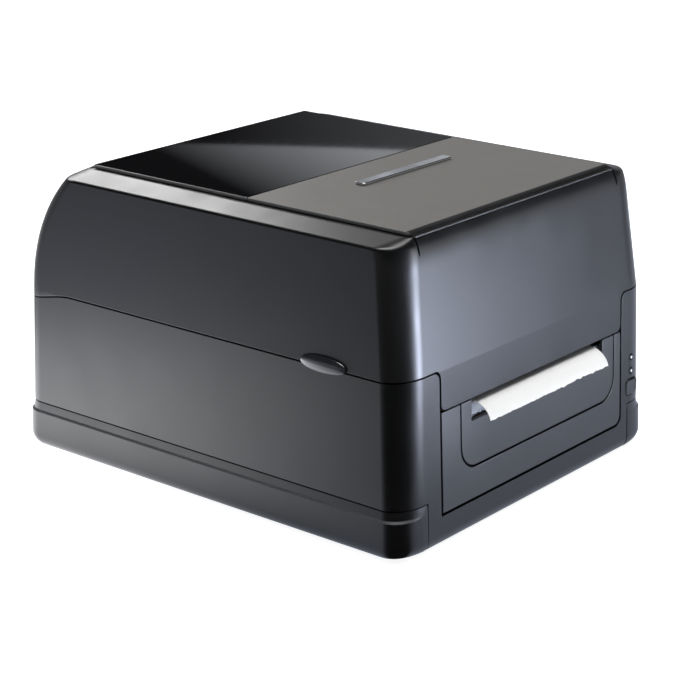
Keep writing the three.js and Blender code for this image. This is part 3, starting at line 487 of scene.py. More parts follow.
def make_tray():
    profile = [(z, TRAY_PROUD) for z in BOTTOM_LEVELS + [14, TRAY_RIDGE_Z]]
    profile += [(TRAY_LEDGE_Z, 0.3), (TRAY_TOP_Z, -0.2)]
    rings = [
        [tray_point(*point, proud) for point in case_ring(base_level(z, proud))]
        for z, proud in profile
    ]
    made = loft("tray_shell", rings)
    bevel_levels(made, [TRAY_RIDGE_Z, TRAY_LEDGE_Z], 0.3, 3)
    inside = [FLOOR_Z + WALL, 4, 5.2, BOTTOM_ROUND_Z, TRAY_RIDGE_Z, TRAY_TOP_Z + 1]
    cut(made, loft("inside", [case_ring(base_level(z), WALL) for z in inside]))
    notch = rounded_rect(-TRAY_FRONT_END, TRAY_FRONT_END, -1, 60, 0.8, 3)
    cut(made, prism("notch", notch, "y", -CUT_Y, -126.6))
    for y in (FOOT["front"], FOOT["rear"]):
        for x in (-FOOT["x"], FOOT["x"]):
            cut(made, rod("z", FOOT["r"] + GAP, -1, FOOT["top"] + 0.1, x, y))
    for x0, x1, z0, _ in BACK_PORTS.values():
        if z0 < TRAY_TOP_Z:
            cut(made, block(x0, x1, BACK_INSIDE, CUT_Y, z0 - SHUT_LINE, 40))
    return round_edges(made, 0.45, 3)


def finger_lip(side):
    """The oval lip to lift the cover by; its lower edge hangs just outside the lower housing."""
    x = side * (HALF_WIDTH + 0.2)
    z = SEAM_Z + LIP["rise"]
    rings = []
    for degrees in steps_between(-88, 88, 40):
        turn = math.radians(degrees)
        share = math.cos(turn) ** 0.8
        y = LIP["y"] + LIP["half_length"] * math.sin(turn)
        out = LIP["proud"] * share
        up = LIP["half_height"] * share
        rings.append([(x + u * out, y, z + v * up) for u, v in circle(0, 0, 1, 40)])
    made = loft("lip", rings)
    wall = side * (HALF_WIDTH + 0.5)
    return cut(made, block(min(0, wall), max(0, wall), -130, -40, SEAM_Z - 20, SEAM_Z + SHUT_LINE))


def shoulder_level(z):
    """A level of the cover; towards the crown its front bends back more and more."""
    level = cover_level(z)
    share = max(0, z - FRONT_BEND["start"]) / (COVER_TOP_Z - FRONT_BEND["start"])
    level["front"] += FRONT_BEND["in"] * share**3
    return level


def corner_notch(side):
    """A narrow cut down the cover's shoulder, from the plate's front corner."""
    top, out = NOTCH["top"], NOTCH["out"]
    outline = [(NOTCH_FLOOR[0][0], top)] + NOTCH_FLOOR + [(out, NOTCH_FLOOR[-1][1]), (out, top)]
    middle = side * NOTCH["x"]
    return prism("slit", outline, "x", middle - NOTCH["half_width"], middle + NOTCH["half_width"])


def make_front_rim():
    """The thin rim in front of the satin plate."""
    outline = rounded_rect(*FRONT_RIM["y"], *FRONT_RIM["z"], FRONT_RIM["corner"], 4)
    return round_edges(prism("front_rim", outline, "x", -FRONT_RIM["end"], FRONT_RIM["end"]), 0.1)


def make_cover():
    sweep = math.degrees(math.asin((SHOULDER_Z - COVER_BACK_Z) / COVER_BACK_RADIUS))
    curve = [
        COVER_BACK_Z + COVER_BACK_RADIUS * math.sin(math.radians(a))
        for a in steps_between(0, sweep, 20)
    ]
    levels = [base_level(z) for z in (60, 80, SEAM_Z)]
    levels += [shoulder_level(z) for z in curve]
    middle = {**shoulder_level(MID_SHOULDER["z"]), **MID_SHOULDER}
    crown = {**cover_level(COVER_TOP_Z), **CROWN}
    made = loft("cover_shell", [case_ring(level) for level in levels + [middle, crown]])
    bevel_levels(made, [SHOULDER_Z], 1.3, 5)
    bevel_levels(made, [COVER_TOP_Z], 0.7, 3)
    inner = [dict(levels[0], z=55)] + levels[1:-1]
    inner.append(dict(levels[-1], z=SHOULDER_Z - SHOULDER_WALL))
    inner.append(dict(crown, z=COVER_TOP_Z - WALL))
    cut(made, loft("inside", [case_ring(level, WALL) for level in inner]))
    door = prism("door", tongue_outline(), "y", -CUT_Y, FRONT_INSIDE)
    bed = rounded_rect(
        -PLATE_BED["x"], PLATE_BED["x"], PLATE_BED["front"], PLATE_BED["rear"], PLATE_BED["corner"]
    )
    cut(made, cut(seam_cutter(False, SHUT_LINE), door), prism("bed", bed, "z", PLATE_BED["z"], 170))
    cut(made, corner_notch(-1), corner_notch(1))
    for side in (-1, 1):
        middle = side * PIVOT["x"]
        join(made, hinge_ear(middle - EAR["cover_half"], middle + EAR["cover_half"], True))
        join(made, finger_lip(side))
    return round_edges(made)


def outlet_outline(inset, top):
    left = OUTLET["left"]
    right = OUTLET["right"]
    corner = OUTLET["corner"]
    low = OUTLET["bottom"] + corner
    left_arc = arc(left + corner, low, corner - inset, 180, 270, 12)
    right_arc = arc(right - corner, low, corner - inset, 270, 360, 12)
    return [(left + inset, top)] + left_arc + right_arc + [(right - inset, top)]


def make_front_panel():
    made = front_plate("front_panel_shell", doorway_outline(PANEL_GAP), PLATE_THICK)
    opening = front_plate("opening", outlet_outline(0, 90), 12)
    opening.data.transform(Matrix.Translation((0, -4 * MM, 0)))
    cut(made, block(-CUT_X, CUT_X, -CUT_Y, -110, DOORWAY["top"], 160), opening)
    return round_edges(made, 0.45)


def make_outlet_panel():
    made = front_plate("outlet_shell", outlet_outline(0.9, DOORWAY["top"]), PLATE_THICK)
    cut(made, block(SLOT["left"], SLOT["right"], -CUT_Y, -120, SLOT["bottom"], 90))
    return round_edges(made, 0.45)


def insert_plate(name, node, radius, front_bend=None):
    """A flat insert in the cover's top, on the box of the CAD plate; its front may bend down."""
    low, high = box_mm(node)
    made = prism(name, rounded_rect(low.x, high.x, low.y, high.y, radius), "z", low.z, high.z)
    if front_bend:
        reach, drop = front_bend
        turns = arc(0, 0, 1, 180, 90, 12)
        bend = [(low.y + reach * (1 + u), high.z - drop * (1 - v)) for u, v in turns]
        out, up = low.y - 2, high.z + 2
        waste = [(out, up), (out, bend[0][1])] + bend + [(bend[-1][0], up)]
        cut(made, prism("waste", waste, "x", low.x - 2, high.x + 2))
    return round_edges(made, 0.4, 3)


def is_side_edge(face):
    return abs(face.normal.z) < 0.97 and abs(face.normal.x) > 0.3


def is_front_bend(face):
    return face.normal.y < -0.1


def is_ledge(face):
    z = face.center.z / MM
    return TRAY_RIDGE_Z - 0.15 < z < TRAY_LEDGE_Z + 0.15 and face.normal.z > 0.25


def is_lip(face):
    """On the oval lips, which stand outside the cover's side walls."""
    x, y, z = face.center / MM
    near = abs(y - LIP["y"]) < LIP["half_length"] and abs(z - SEAM_Z - LIP["rise"]) < LIP["half_height"]
    return near and abs(x) > HALF_WIDTH + 0.3


# ---------------------------------------------------------------- materials


class NodeMaker:
    """Short ways to add the nodes that the materials, the lit card and the world share."""

    def __init__(self, tree):
        self.nodes = tree.nodes
        self.links = tree.links

    def feed(self, socket, value):
        """Links an output to the socket, or sets the socket's own value."""
        if isinstance(value, bpy.types.NodeSocket):
            self.links.new(value, socket)
        else:
            socket.default_value = value

    def node(self, kind, *values, **settings):
        """A new node with these settings, and these values for its inputs in order."""
        made = self.nodes.new("ShaderNode" + kind)
        for setting, value in settings.items():
            setattr(made, setting, value)
        for socket, value in zip(made.inputs, values):
            self.feed(socket, value)
        return made

    def math(self, operation, *values):
        return self.node("Math", *values, operation=operation).outputs[0]

    def vector_math(self, operation, *values):
        """The vector that the operation gives, or the number where it measures."""
        made = self.node("VectorMath", *values, operation=operation)
        return made.outputs["Value" if operation in ("LENGTH", "DISTANCE") else "Vector"]

    def ease(self, value, start, end, low=0.0, high=1.0, kind="SMOOTHSTEP"):
        """Maps the value's range from start to end onto low to high."""
        return self.node("MapRange", value, start, end, low, high, interpolation_type=kind).outputs[0]


class Shader(NodeMaker):
    """A Principled material with a few ways to add procedural detail, in object space."""

    def __init__(self, name, colour, roughness, metallic=0.0, **sockets):
        self.material = bpy.data.materials.new(name)
        self.material.use_nodes = True
        super().__init__(self.material.node_tree)
        self.shader = self.nodes["Principled BSDF"]
        self.shader.inputs["Base Color"].default_value = (*colour, 1)
        self.shader.inputs["Roughness"].default_value = roughness
        self.shader.inputs["Metallic"].default_value = metallic
        for socket, value in sockets.items():
            self.shader.inputs[socket.replace("_", " ")].default_value = value
        self.colour = colour
        self.roughness = roughness
        self.coords = self.node("TexCoord").outputs["Object"]
        self.height = None

    def noise(self, cell, detail=4.0, rough=0.6, stretch=(1, 1, 1)):
        """Noise whose features are about cell millimetres wide, as a value socket."""
        mapping = self.node("Mapping", self.coords)
        mapping.inputs["Scale"].default_value = [s / (cell * MM) for s in stretch]
        texture = self.node("TexNoise", mapping.outputs["Vector"])
        texture.inputs["Scale"].default_value = 1
        texture.inputs["Detail"].default_value = detail
        texture.inputs["Roughness"].default_value = rough
        return texture.outputs["Fac"]

    def layers(self, y, z, pitch):
        """Tones that change with the distance from an axis along X, like the edges of wound layers."""
        away = self.vector_math("SUBTRACT", self.coords, (0, y * MM, z * MM))
        radius = self.vector_math("LENGTH", self.vector_math("MULTIPLY", away, (0, 1, 1)))
        texture = self.node("TexNoise", noise_dimensions="1D")
        texture.inputs["Scale"].default_value = 1 / (pitch * MM)
        texture.inputs["Detail"].default_value = 3
        self.feed(texture.inputs["W"], radius)
        return texture.outputs["Fac"]

    def vary_roughness(self, value, by):
        low, high = self.roughness - by, self.roughness + by
        self.feed(self.shader.inputs["Roughness"], self.ease(value, 0.3, 0.7, low, high, "LINEAR"))
        return self

    def tint(self, value, other, start=0.35, end=0.65):
        """Mixes the base colour towards another one by the value."""
        mix = self.node("Mix", data_type="RGBA")
        base = self.shader.inputs["Base Color"]
        self.feed(mix.inputs[6], base.links[0].from_socket if base.links else (*self.colour, 1))
        mix.inputs[7].default_value = (*other, 1)
        self.feed(mix.inputs["Factor"], self.ease(value, start, end, kind="LINEAR"))
        self.feed(base, mix.outputs[2])
        return self

    def bump(self, value, depth):
        """Adds relief of this depth in millimetres."""
        made = self.node("Bump")
        made.inputs["Strength"].default_value = 1
        made.inputs["Distance"].default_value = depth * MM
        self.feed(made.inputs["Height"], value)
        if self.height:
            self.feed(made.inputs["Normal"], self.height)
        self.height = made.outputs["Normal"]
        self.feed(self.shader.inputs["Normal"], self.height)
        return self


def linear(code):
    """A hex colour as linear RGB."""
    parts = [int(code[i : i + 2], 16) / 255 for i in (0, 2, 4)]
    return tuple(c / 12.92 if c <= 0.04045 else ((c + 0.055) / 1.055) ** 2.4 for c in parts)


def moulded(name, code, roughness, grain=0.55, relief=0.012, speckle="6a6e80", **sockets):
    """Moulded ABS: a fine sparked grain, a few lighter specks, and slow changes of gloss."""
    made = Shader(name, linear(code), roughness, **sockets)
    fine = made.noise(grain, 3, 0.7)
    made.tint(made.noise(grain * 0.8, 2, 0.5), linear(speckle), 0.68, 0.8)
    made.vary_roughness(made.noise(24, 3, 0.55), 0.035)
    made.bump(fine, relief)
    made.bump(made.noise(60, 2, 0.5), 0.05)
    return made.material


def polished(name, code, roughness):
    """Polished black acrylic: a clean mirror with the faintest haze and dust."""
    made = Shader(name, linear(code), roughness)
    made.vary_roughness(made.noise(3, 5, 0.7), 0.008)
    made.tint(made.noise(0.35, 1), linear("16161a"), 0.8, 0.86)
    return made.material


def brushed(name, code, roughness, stretch, darker):
    """Bare metal with fine lines along the long axis of the stretch and a few dull spots."""
    made = Shader(name, linear(code), roughness, 1.0)
    lines = made.noise(0.25, 3, 0.6, stretch)
    made.tint(made.noise(9, 4, 0.6), linear(darker), 0.5, 0.85)
    made.vary_roughness(lines, 0.07)
    made.bump(lines, 0.006)
    return made.material


def wound(name, code, edge_code, roughness, y, z, pitch):
    """Paper, card or film wound on an axis along X."""
    made = Shader(name, linear(code), roughness)
    tones = made.layers(y, z, pitch)
    made.tint(tones, linear(edge_code), 0.42, 0.7)
    made.vary_roughness(made.noise(14), 0.05)
    made.bump(tones, 0.03)
    made.bump(made.noise(0.5, 3), 0.01)
    return made.material


def paper(name, code):
    """Coated paper: faint fibres and a slight cockle."""
    made = Shader(name, linear(code), 0.62)
    fibres = made.noise(0.5, 5, 0.7, (1, 0.35, 0.35))
    made.tint(made.noise(0.8, 3), linear("e6e6e2"), 0.55, 0.9)
    made.vary_roughness(fibres, 0.06)
    made.bump(fibres, 0.012)
    made.bump(made.noise(22, 1), 0.05)
    return made.material


def solder_mask(name, code):
    """A printed circuit: paler copper runs under green lacquer."""
    made = Shader(name, linear(code), 0.28)
    made.tint(made.noise(2.4, 1, 0.2, (1, 0.12, 1)), linear("2f7d4c"), 0.52, 0.56)
    made.tint(made.noise(2.4, 1, 0.2, (0.12, 1, 1)), linear("2f7d4c"), 0.55, 0.58)
    made.tint(made.noise(1.1, 0, 0.2), linear("c9b27a"), 0.74, 0.76)
    made.vary_roughness(made.noise(7), 0.05)
    made.bump(made.noise(2.4, 1, 0.2, (1, 0.12, 1)), 0.02)
    return made.material


def glinting_lens(name, code):
    """Cloudy clear plastic with a painted glint: its pale tint and faint glow are not a lit lamp, they
    stand in for the highlight on the lens.
    """
    made = Shader(name, linear(code), 0.25)
    made.tint(made.noise(0.7, 2), linear("dce4ea"), 0.4, 0.7)
    made.vary_roughness(made.noise(1.5), 0.06)
    made.bump(made.noise(0.4, 2), 0.01)
    # painted glint: this emission stands in for a highlight, the lens is not lit
    made.shader.inputs["Emission Color"].default_value = (0.9, 0.95, 1, 1)
    made.shader.inputs["Emission Strength"].default_value = 0.25
    return made.material


def rubber(name, code, roughness, stretch):
    """Dull rubber, with its roughness drawn out along the stretch and a few paler patches."""
    made = Shader(name, linear(code), roughness)
    rough = made.noise(0.35, 4, 0.7, stretch)
    made.tint(made.noise(5, 3), linear("3a3a3c"), 0.5, 0.9)
    made.vary_roughness(made.noise(8), 0.06)
    made.bump(rough, 0.03)
    return made.material


MATERIALS = {
    "case_plastic": moulded("case_plastic", "080809", 0.32, 0.5, 0.008, speckle="2c2d33"),
    "panel_plastic": moulded(
        "panel_plastic", "101114", 0.33, 0.5, 0.008, "34353c", Specular_IOR_Level=0.72
    ),
    "satin_plate": moulded("satin_plate", "656360", 0.42, 0.3, 0.004, "74726e"),
    "gloss_black": polished("gloss_black", "040405", 0.02),
    "chrome_trim": moulded("chrome_trim", "d9dbde", 0.12, 0.4, 0.001, "f0f0f0", Metallic=1.0),
    "foot_rubber": rubber("foot_rubber", "242424", 0.8, (1, 1, 1)),
    "platen_rubber": rubber("platen_rubber", "2c2c2e", 0.6, (1, 0.03, 0.03)),
    # the lens core's pale colour and glow are a painted glint
    "clear_lens": glinting_lens("clear_lens", "b4bac0"),
    "circuit_board": solder_mask("circuit_board", "0f5a2e"),
    "steel": brushed("steel", "b9bbbf", 0.3, (0.06, 1, 1), "8d8f93"),
    "frame_plastic": moulded("frame_plastic", "4b4d50", 0.52, 0.4, 0.02, "6f7276"),
    "bush_plastic": moulded("bush_plastic", "85878a", 0.46, 0.5, 0.012, "9b9da0"),
    "gear_plastic": moulded("gear_plastic", "dcd7c6", 0.4, 0.5, 0.01, "efeadb"),
    "touch_plastic": moulded("touch_plastic", "1f4f9b", 0.38, 0.5, 0.012, "3868b4"),
    "core_card": wound("core_card", "a98558", "8d6b42", 0.8, ROLL["y"], ROLL["z"], 0.5),
    "label_paper": paper("label_paper", "fbfbf9"),
    "head_ceramic": moulded("head_ceramic", "96836c", 0.22, 0.3, 0.003, "ac987e"),
    "heat_sink_aluminium": brushed("heat_sink_aluminium", "c6c8cb", 0.34, (0.03, 1, 1), "a2a4a8"),
    "ribbon_wax": moulded("ribbon_wax", "131314", 0.18, 0.6, 0.006, "1e1e20"),
}
# light grey on the inserts' side edges: a painted highlight line
INSERT_EDGE_HIGHLIGHT = moulded("insert_edge_highlight", "7c7c7e", 0.34, 0.4, 0.004, "a0a0a2")
# near black on the satin plate's bent front: painted shade and dark reflection of the rounded edge
INSERT_FRONT_SHADE = moulded("insert_front_shade", "0c0c0d", 0.4, 0.4, 0.004, "2c2c2e")
# lighter grey on the tray's upward ledge: a painted highlight that draws the ridge line
LEDGE_HIGHLIGHT_PLASTIC = moulded("ledge_highlight_plastic", "4c4d50", 0.5, 0.5, 0.006, "64656a")
# the rim is lighter than the case: a painted highlight line along the cover's front
FRONT_RIM_HIGHLIGHT_PLASTIC = moulded("front_rim_highlight_plastic", "1e1d1b", 0.5, 0.4, 0.004, "34322e")
# the lip's gloss is its own; its lighter colour than the case is a painted sheen
LIP_SHEEN_PLASTIC = moulded("lip_sheen_plastic", "24262a", 0.17, 0.5, 0.003, "3c3e44", Specular_IOR_Level=1.0)
LENS_RIM = moulded("lens_rim", "0c0d10", 0.12, 0.3, 0.001)
ROLL_PAPER = wound("roll_paper", "f1f1ee", "c4c4be", 0.7, ROLL["y"], ROLL["z"], 0.35)
SUPPLY_FILM = wound("supply_film", "121213", "2a2a2d", 0.28, SUPPLY["y"], SUPPLY["z"], 0.3)
REWIND_FILM = wound("rewind_film", "121213", "2a2a2d", 0.28, REWIND["y"], REWIND["z"], 0.3)


replaced = set()


def finish_piece(piece, slot, body, *nodes, material=None, marks=()):
    """Gives the piece its materials and its place; each mark is a material and a test for its faces."""
    piece.data.materials.clear()
    piece.data.materials.append(material or MATERIALS[slot])
    for number, (other, chosen) in enumerate(marks, 1):
        piece.data.materials.append(other)
        for face in piece.data.polygons:
            if chosen(face):
                face.material_index = number
    replaced.update(nodes)
    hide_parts(*nodes)
    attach(piece, body)


finish_piece(make_lower_housing(), "case_plastic", "base", "lower_housing")
finish_piece(make_tray(), "case_plastic", "base", "base_tray", marks=[(LEDGE_HIGHLIGHT_PLASTIC, is_ledge)])
finish_piece(make_front_panel(), "panel_plastic", "base", "front_panel")
finish_piece(make_outlet_panel(), "panel_plastic", "base", "outlet_panel")
finish_piece(make_cover(), "case_plastic", "cover", "top_cover", marks=[(LIP_SHEEN_PLASTIC, is_lip)])
finish_piece(
    insert_plate("satin_insert", "cover_plate", 1.2, (3.4, 1.8)),
    "satin_plate",
    "cover",
    "cover_plate",
    marks=[(INSERT_EDGE_HIGHLIGHT, is_side_edge), (INSERT_FRONT_SHADE, is_front_bend)],
)
finish_piece(
    insert_plate("gloss_insert", "cover_window", 1.2),
    "gloss_black",
    "cover",
    "cover_window",
    marks=[(INSERT_EDGE_HIGHLIGHT, is_side_edge)],
)
finish_piece(make_front_rim(), "case_plastic", "cover", material=FRONT_RIM_HIGHLIGHT_PLASTIC)
finish_piece(insert_plate("badge_strip", "badge_bar", 1.5), "chrome_trim", "cover", "badge_bar")

# ---------------------------------------------------------------- controls


def domed_lens(name, node):
    """A round light pipe with a domed front."""
    low, high = box_mm(node)
    x, z = (low.x + high.x) / 2, (low.z + high.z) / 2
    radius = (high.x - low.x) / 2
    rise = 0.8
    stations = [(high.y, 1), (low.y + rise, 1)]
    for a in steps_between(10, 80, 7):
        turn = math.radians(a)
        stations.append((low.y + rise * (1 - math.sin(turn)), math.cos(turn)))
    rings = [[(u, y, v) for u, v in circle(x, z, radius * share, 40)] for y, share in stations]
    return loft(name, rings)


def button_cap(name, node):
    """A rounded square cap: filleted rim, and a face that dips slightly in the middle."""
    low, high = box_mm(node)
    fillet = 0.9
    stations = [(high.y, 0), (low.y + fillet, 0)]
    for a in steps_between(15, 90, 5):
        turn = math.radians(a)
        stations.append((low.y + fillet * (1 - math.sin(turn)), fillet * (1 - math.cos(turn))))
    stations += [(low.y + 0.1, 1.9), (low.y + 0.25, 3.2)]
    rings = []
    for y, inset in stations:
        corner = max(0.6, BUTTON_CORNER - GAP - inset)
        outline = rounded_rect(low.x + inset, high.x - inset, low.z + inset, high.z - inset, corner, 6)
        rings.append([(u, y, v) for u, v in outline])
    return loft(name, rings)


def is_outside(middle, radius):
    """A test for faces further than the radius from an axis along Y."""

    def test(face):
        away = face.center - middle
        return math.hypot(away.x, away.z) > radius * MM

    return test


# the lens core inside 0.8 mm carries the painted glint; the rim outside it is the lens's own dark plastic
for node in ("led_power", "led_status"):
    lens = smooth(domed_lens(f"{node}_lens", node))
    middle = sum(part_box(node), Vector()) / 2
    finish_piece(lens, "clear_lens", "base", node, marks=[(LENS_RIM, is_outside(middle, 0.8))])
feed_cap = smooth(button_cap("feed_cap", "feed_button"))
finish_piece(feed_cap, "panel_plastic", "feed_button_body", "feed_button")

# ---------------------------------------------------------------- label web and label roll


def web_path():
    """The web from the roll's upper front, over the bar and the platen, to the end of its curl."""
    radius = ROLL["r"] + 0.3
    reach_y, reach_z = ROLL["y"] - WEB_BEND["y"], ROLL["z"] - WEB_BEND["z"]
    reach = math.hypot(reach_y, reach_z)
    angle = math.atan2(reach_z, reach_y) + math.asin(radius / reach)
    run = math.sqrt(reach**2 - radius**2)
    start = (WEB_BEND["y"] + run * math.cos(angle), WEB_BEND["z"] + run * math.sin(angle))
    over_platen = PLATEN["z"] + PLATEN["r"] + 0.45
    fixed = []
    corners = [start, (WEB_BEND["y"], WEB_BEND["z"]), (PLATEN["y"], over_platen)]
    for (y0, z0), (y1, z1) in zip(corners, corners[1:]):
        fixed += [(y0 + (y1 - y0) * t, z0 + (z1 - z0) * t) for t in steps_between(0, 1, 8)[:-1]]
    return fixed + [corners[-1], (CURL["y"] + 6, over_platen)]


def curl_point(share):
    turn = math.radians(CURL["sweep"] * share)
    y = CURL["y"] - 1.1 * CURL["r"] * math.sin(turn)
    z = PLATEN["z"] + PLATEN["r"] + 0.35 - 0.86 * CURL["r"] * (1 - math.cos(turn))
    return y, z


def torn_share(x):
    """How far along the curl the paper reaches at x: a ragged tear with fine teeth."""
    slow = noise.noise(Vector((x * 0.05, 3.7, 0)))
    ragged = noise.noise(Vector((x * 0.32, 9.1, 0)))
    teeth = abs((x / 1.6) % 1 - 0.5)
    return 0.95 + 0.035 * slow + 0.035 * ragged + 0.03 * teeth


def make_label_web():
    columns = steps_between(WEB["left"], WEB["right"], 220)
    fixed = web_path()
    curl_steps = 22
    rows = []
    for x in columns:
        end = torn_share(x)
        bow = 0.5 * math.sin(math.pi * (x - WEB["left"]) / (WEB["right"] - WEB["left"]))
        path = list(fixed)
        for share in steps_between(0, end, curl_steps):
            y, z = curl_point(share)
            path.append((y - bow * share, z + bow * share))
        rows.append([(x, y, z) for y, z in path])
    count = len(rows[0])
    points = []
    for half in (0.5, -0.5):
        for row in rows:
            for i, (x, y, z) in enumerate(row):
                before, after = row[max(0, i - 1)], row[min(count - 1, i + 1)]
                along = Vector((0, after[1] - before[1], after[2] - before[2])).normalized()
                lift = half * WEB["thickness"]
                points.append((x, y + along.z * lift, z - along.y * lift))
    total = len(columns) * count
    faces = []
    for i in range(len(columns) - 1):
        for j in range(count - 1):
            a, b = i * count + j, (i + 1) * count + j
            faces.append((a, b, b + 1, a + 1))
            faces.append((total + a, total + a + 1, total + b + 1, total + b))
    for j in range(count - 1):
        last = (len(columns) - 1) * count + j
        faces.append((j, j + 1, total + j + 1, total + j))
        faces.append((last, total + last, total + last + 1, last + 1))
    for i in range(len(columns) - 1):
        a, b = i * count, (i + 1) * count
        faces.append((a, total + a, total + b, b))
        a, b = a + count - 1, b + count - 1
        faces.append((a, b, total + b, total + a))
    return smooth(new_object("paper_web", points, faces), 50)


def make_roll(name, node, axis, inner, seed):
    """A wound roll on the node's box; its side faces step in and out a little from layer to layer."""
    low, high = box_mm(node)
    outer = (high.z - low.z) / 2
    chance = random.Random(seed)
    radii = steps_between(inner, outer, int((outer - inner) / LAYERS["pitch"]))
    right = []
    left = []
    for start, end in zip(radii, radii[1:]):
        offset = chance.uniform(-LAYERS["stray"], LAYERS["stray"])
        right += [(high.x + offset, start + 0.02), (high.x + offset, end - 0.02)]
        left += [(low.x + offset, start + 0.02), (low.x + offset, end - 0.02)]
    profile = right + left[::-1]
    steps = 128
    rings = []
    for i in range(steps):
        turn = 2 * math.pi * i / steps
        away_y, away_z = math.cos(turn), math.sin(turn)
        rings.append([(x, axis["y"] + r * away_y, axis["z"] + r * away_z) for x, r in profile])
    points = [p for ring in rings for p in ring]
    n = len(profile)
    faces = []
    for i in range(steps):
        a, b = i * n, (i + 1) % steps * n
        faces += [(a + k, a + (k + 1) % n, b + (k + 1) % n, b + k) for k in range(n)]
    return smooth(new_object(name, points, faces), 30)


finish_piece(make_label_web(), "label_paper", "base", "label_web")
wound_labels = make_roll("wound_labels", "label_roll", ROLL, ROLL["core"] + GAP, 11)
finish_piece(wound_labels, "label_paper", "media_roll", "label_roll", material=ROLL_PAPER)

# ---------------------------------------------------------------- CAD pieces that keep their shape

BODY_EDGE = {"gear_plastic": 0.1, "circuit_board": 0.12, "ribbon_wax": 0.12, "steel": 0.2}
OWN_MATERIAL = {"ribbon_supply": SUPPLY_FILM, "ribbon_rewind": REWIND_FILM}


def dress_node(node, slot):
    """The slot's material and a small round on every edge of a CAD piece."""
    piece = frame["nodes"][node]
    material = OWN_MATERIAL.get(node, MATERIALS[slot])
    if not piece.data.materials:
        piece.data.materials.append(material)
    for holder in piece.material_slots:
        holder.link = "OBJECT"
        holder.material = material
    weld = piece.modifiers.new("weld", "WELD")
    weld.merge_threshold = 0.01 * MM
    bevel = piece.modifiers.new("edges", "BEVEL")
    bevel.width = BODY_EDGE.get(slot, 0.25) * MM
    bevel.segments = 2
    bevel.limit_method = "ANGLE"
    bevel.angle_limit = math.radians(38)
    piece.modifiers.new("normals", "WEIGHTED_NORMAL")


for entry in frame["record"]["subparts"]:
    if entry["node"] not in replaced:
        dress_node(entry["node"], entry["material_slot"])

# ---------------------------------------------------------------- floor and light


def add_floor():
    reach = 12000
    outline = [(-reach, -reach), (reach, -reach), (reach, reach), (-reach, reach)]
    floor = new_object("floor", [(x, y, 0) for x, y in outline], [(0, 1, 2, 3)])
    made = Shader("pale_floor", (0.5, 0.5, 0.5), 0.9)
    made.vary_roughness(made.noise(30), 0.05)
    made.shader.inputs["Emission Color"].default_value = (1, 1, 1, 1)
    made.shader.inputs["Emission Strength"].default_value = 0.9
    floor.data.materials.append(made.material)


class Glow(NodeMaker):
    """Soft patches of light added up over a card, for its emission shader."""

    def __init__(self, tree, everywhere):
        super().__init__(tree)
        self.coords = self.node("TexCoord").outputs["Object"]
        self.total = everywhere

    def patch(self, centre, size, turn, core):
        """1 inside the core share of an ellipse, easing to 0 at its rim."""
        place = (centre[0] * MM, centre[1] * MM, 0)
        scale = (size[0] * MM, size[1] * MM, 1000)
        rotation = (0, 0, math.radians(turn))
        mapping = self.node("Mapping", self.coords, place, rotation, scale, vector_type="TEXTURE")
        return self.ease(self.vector_math("LENGTH", mapping.outputs["Vector"]), 1, core)

    def bearing(self, x, y, start, end):
        """0 to 1 as the bearing of a point, seen from (x, y), turns from start to end degrees."""
        split = self.node("SeparateXYZ", self.vector_math("SUBTRACT", self.coords, (x * MM, y * MM, 0)))
        turn = self.math("ARCTAN2", split.outputs["Y"], split.outputs["X"])
        return self.ease(turn, math.radians(start), math.radians(end))

    def distance(self, x, y, start, end):
        """0 to 1 as the distance from (x, y) goes from start to end millimetres."""
        away = self.vector_math("DISTANCE", self.coords, (x * MM, y * MM, 0))
        return self.ease(away, start * MM, end * MM)

    def add(self, value, strength, colour):
        """Adds light of this strength and colour, times the value."""
        light = self.vector_math("MULTIPLY", [strength * c for c in colour], value)
        self.total = self.vector_math("ADD", self.total, light)

    def dim(self, value, keep):
        """Darkens what is there so far to the share keep, where the value is 1."""
        share = self.ease(value, 0, 1, 1, keep, "LINEAR")
        self.total = self.vector_math("MULTIPLY", self.total, share)


NEUTRAL = (1.0, 1.0, 1.02)
COOL = (0.82, 0.9, 1.12)

# Patches of light that only reflections see, lying on the floor: centre, half axes, turn, core, strength.
REFLECTED = [
    ("left near", (-195, 205), (230, 300), 0, 0.0, 3.5, NEUTRAL),
    ("left wall", (-160, 110), (60, 330), 0, 0.0, 1.2, NEUTRAL),
    ("left far", (-580, 560), (850, 320), 135, 0.0, 1.0, COOL),
    ("front near", (150, -260), (700, 330), -20, 0.4, 0.5, COOL),
    ("front wide", (520, -580), (700, 190), -38, 0.0, 0.7, COOL),
    ("front edge", (470, -603), (540, 80), -38, 0.4, 4.9, COOL),
    ("right", (700, 200), (700, 700), 0, 0.0, 1.0, COOL),
    ("back", (150, 800), (800, 600), 0, 0.0, 1.0, NEUTRAL),
]
EVERYWHERE = (0.27, 0.29, 0.32)
DARK_CORNER = (-107, -126)  # the room is dark as seen from the front left corner
DARK_BEARINGS = [(-64, -80, 0.02), (142, 180, 0.03)]
STRIP_BEARINGS = ((-45, -49), (-61, -56))  # a bright strip beside that dark, as seen from the corner
STRIP_REACH = ((90, 720), (2900, 720))  # it rises and fades over these distances
STRIP_STRENGTH = 50


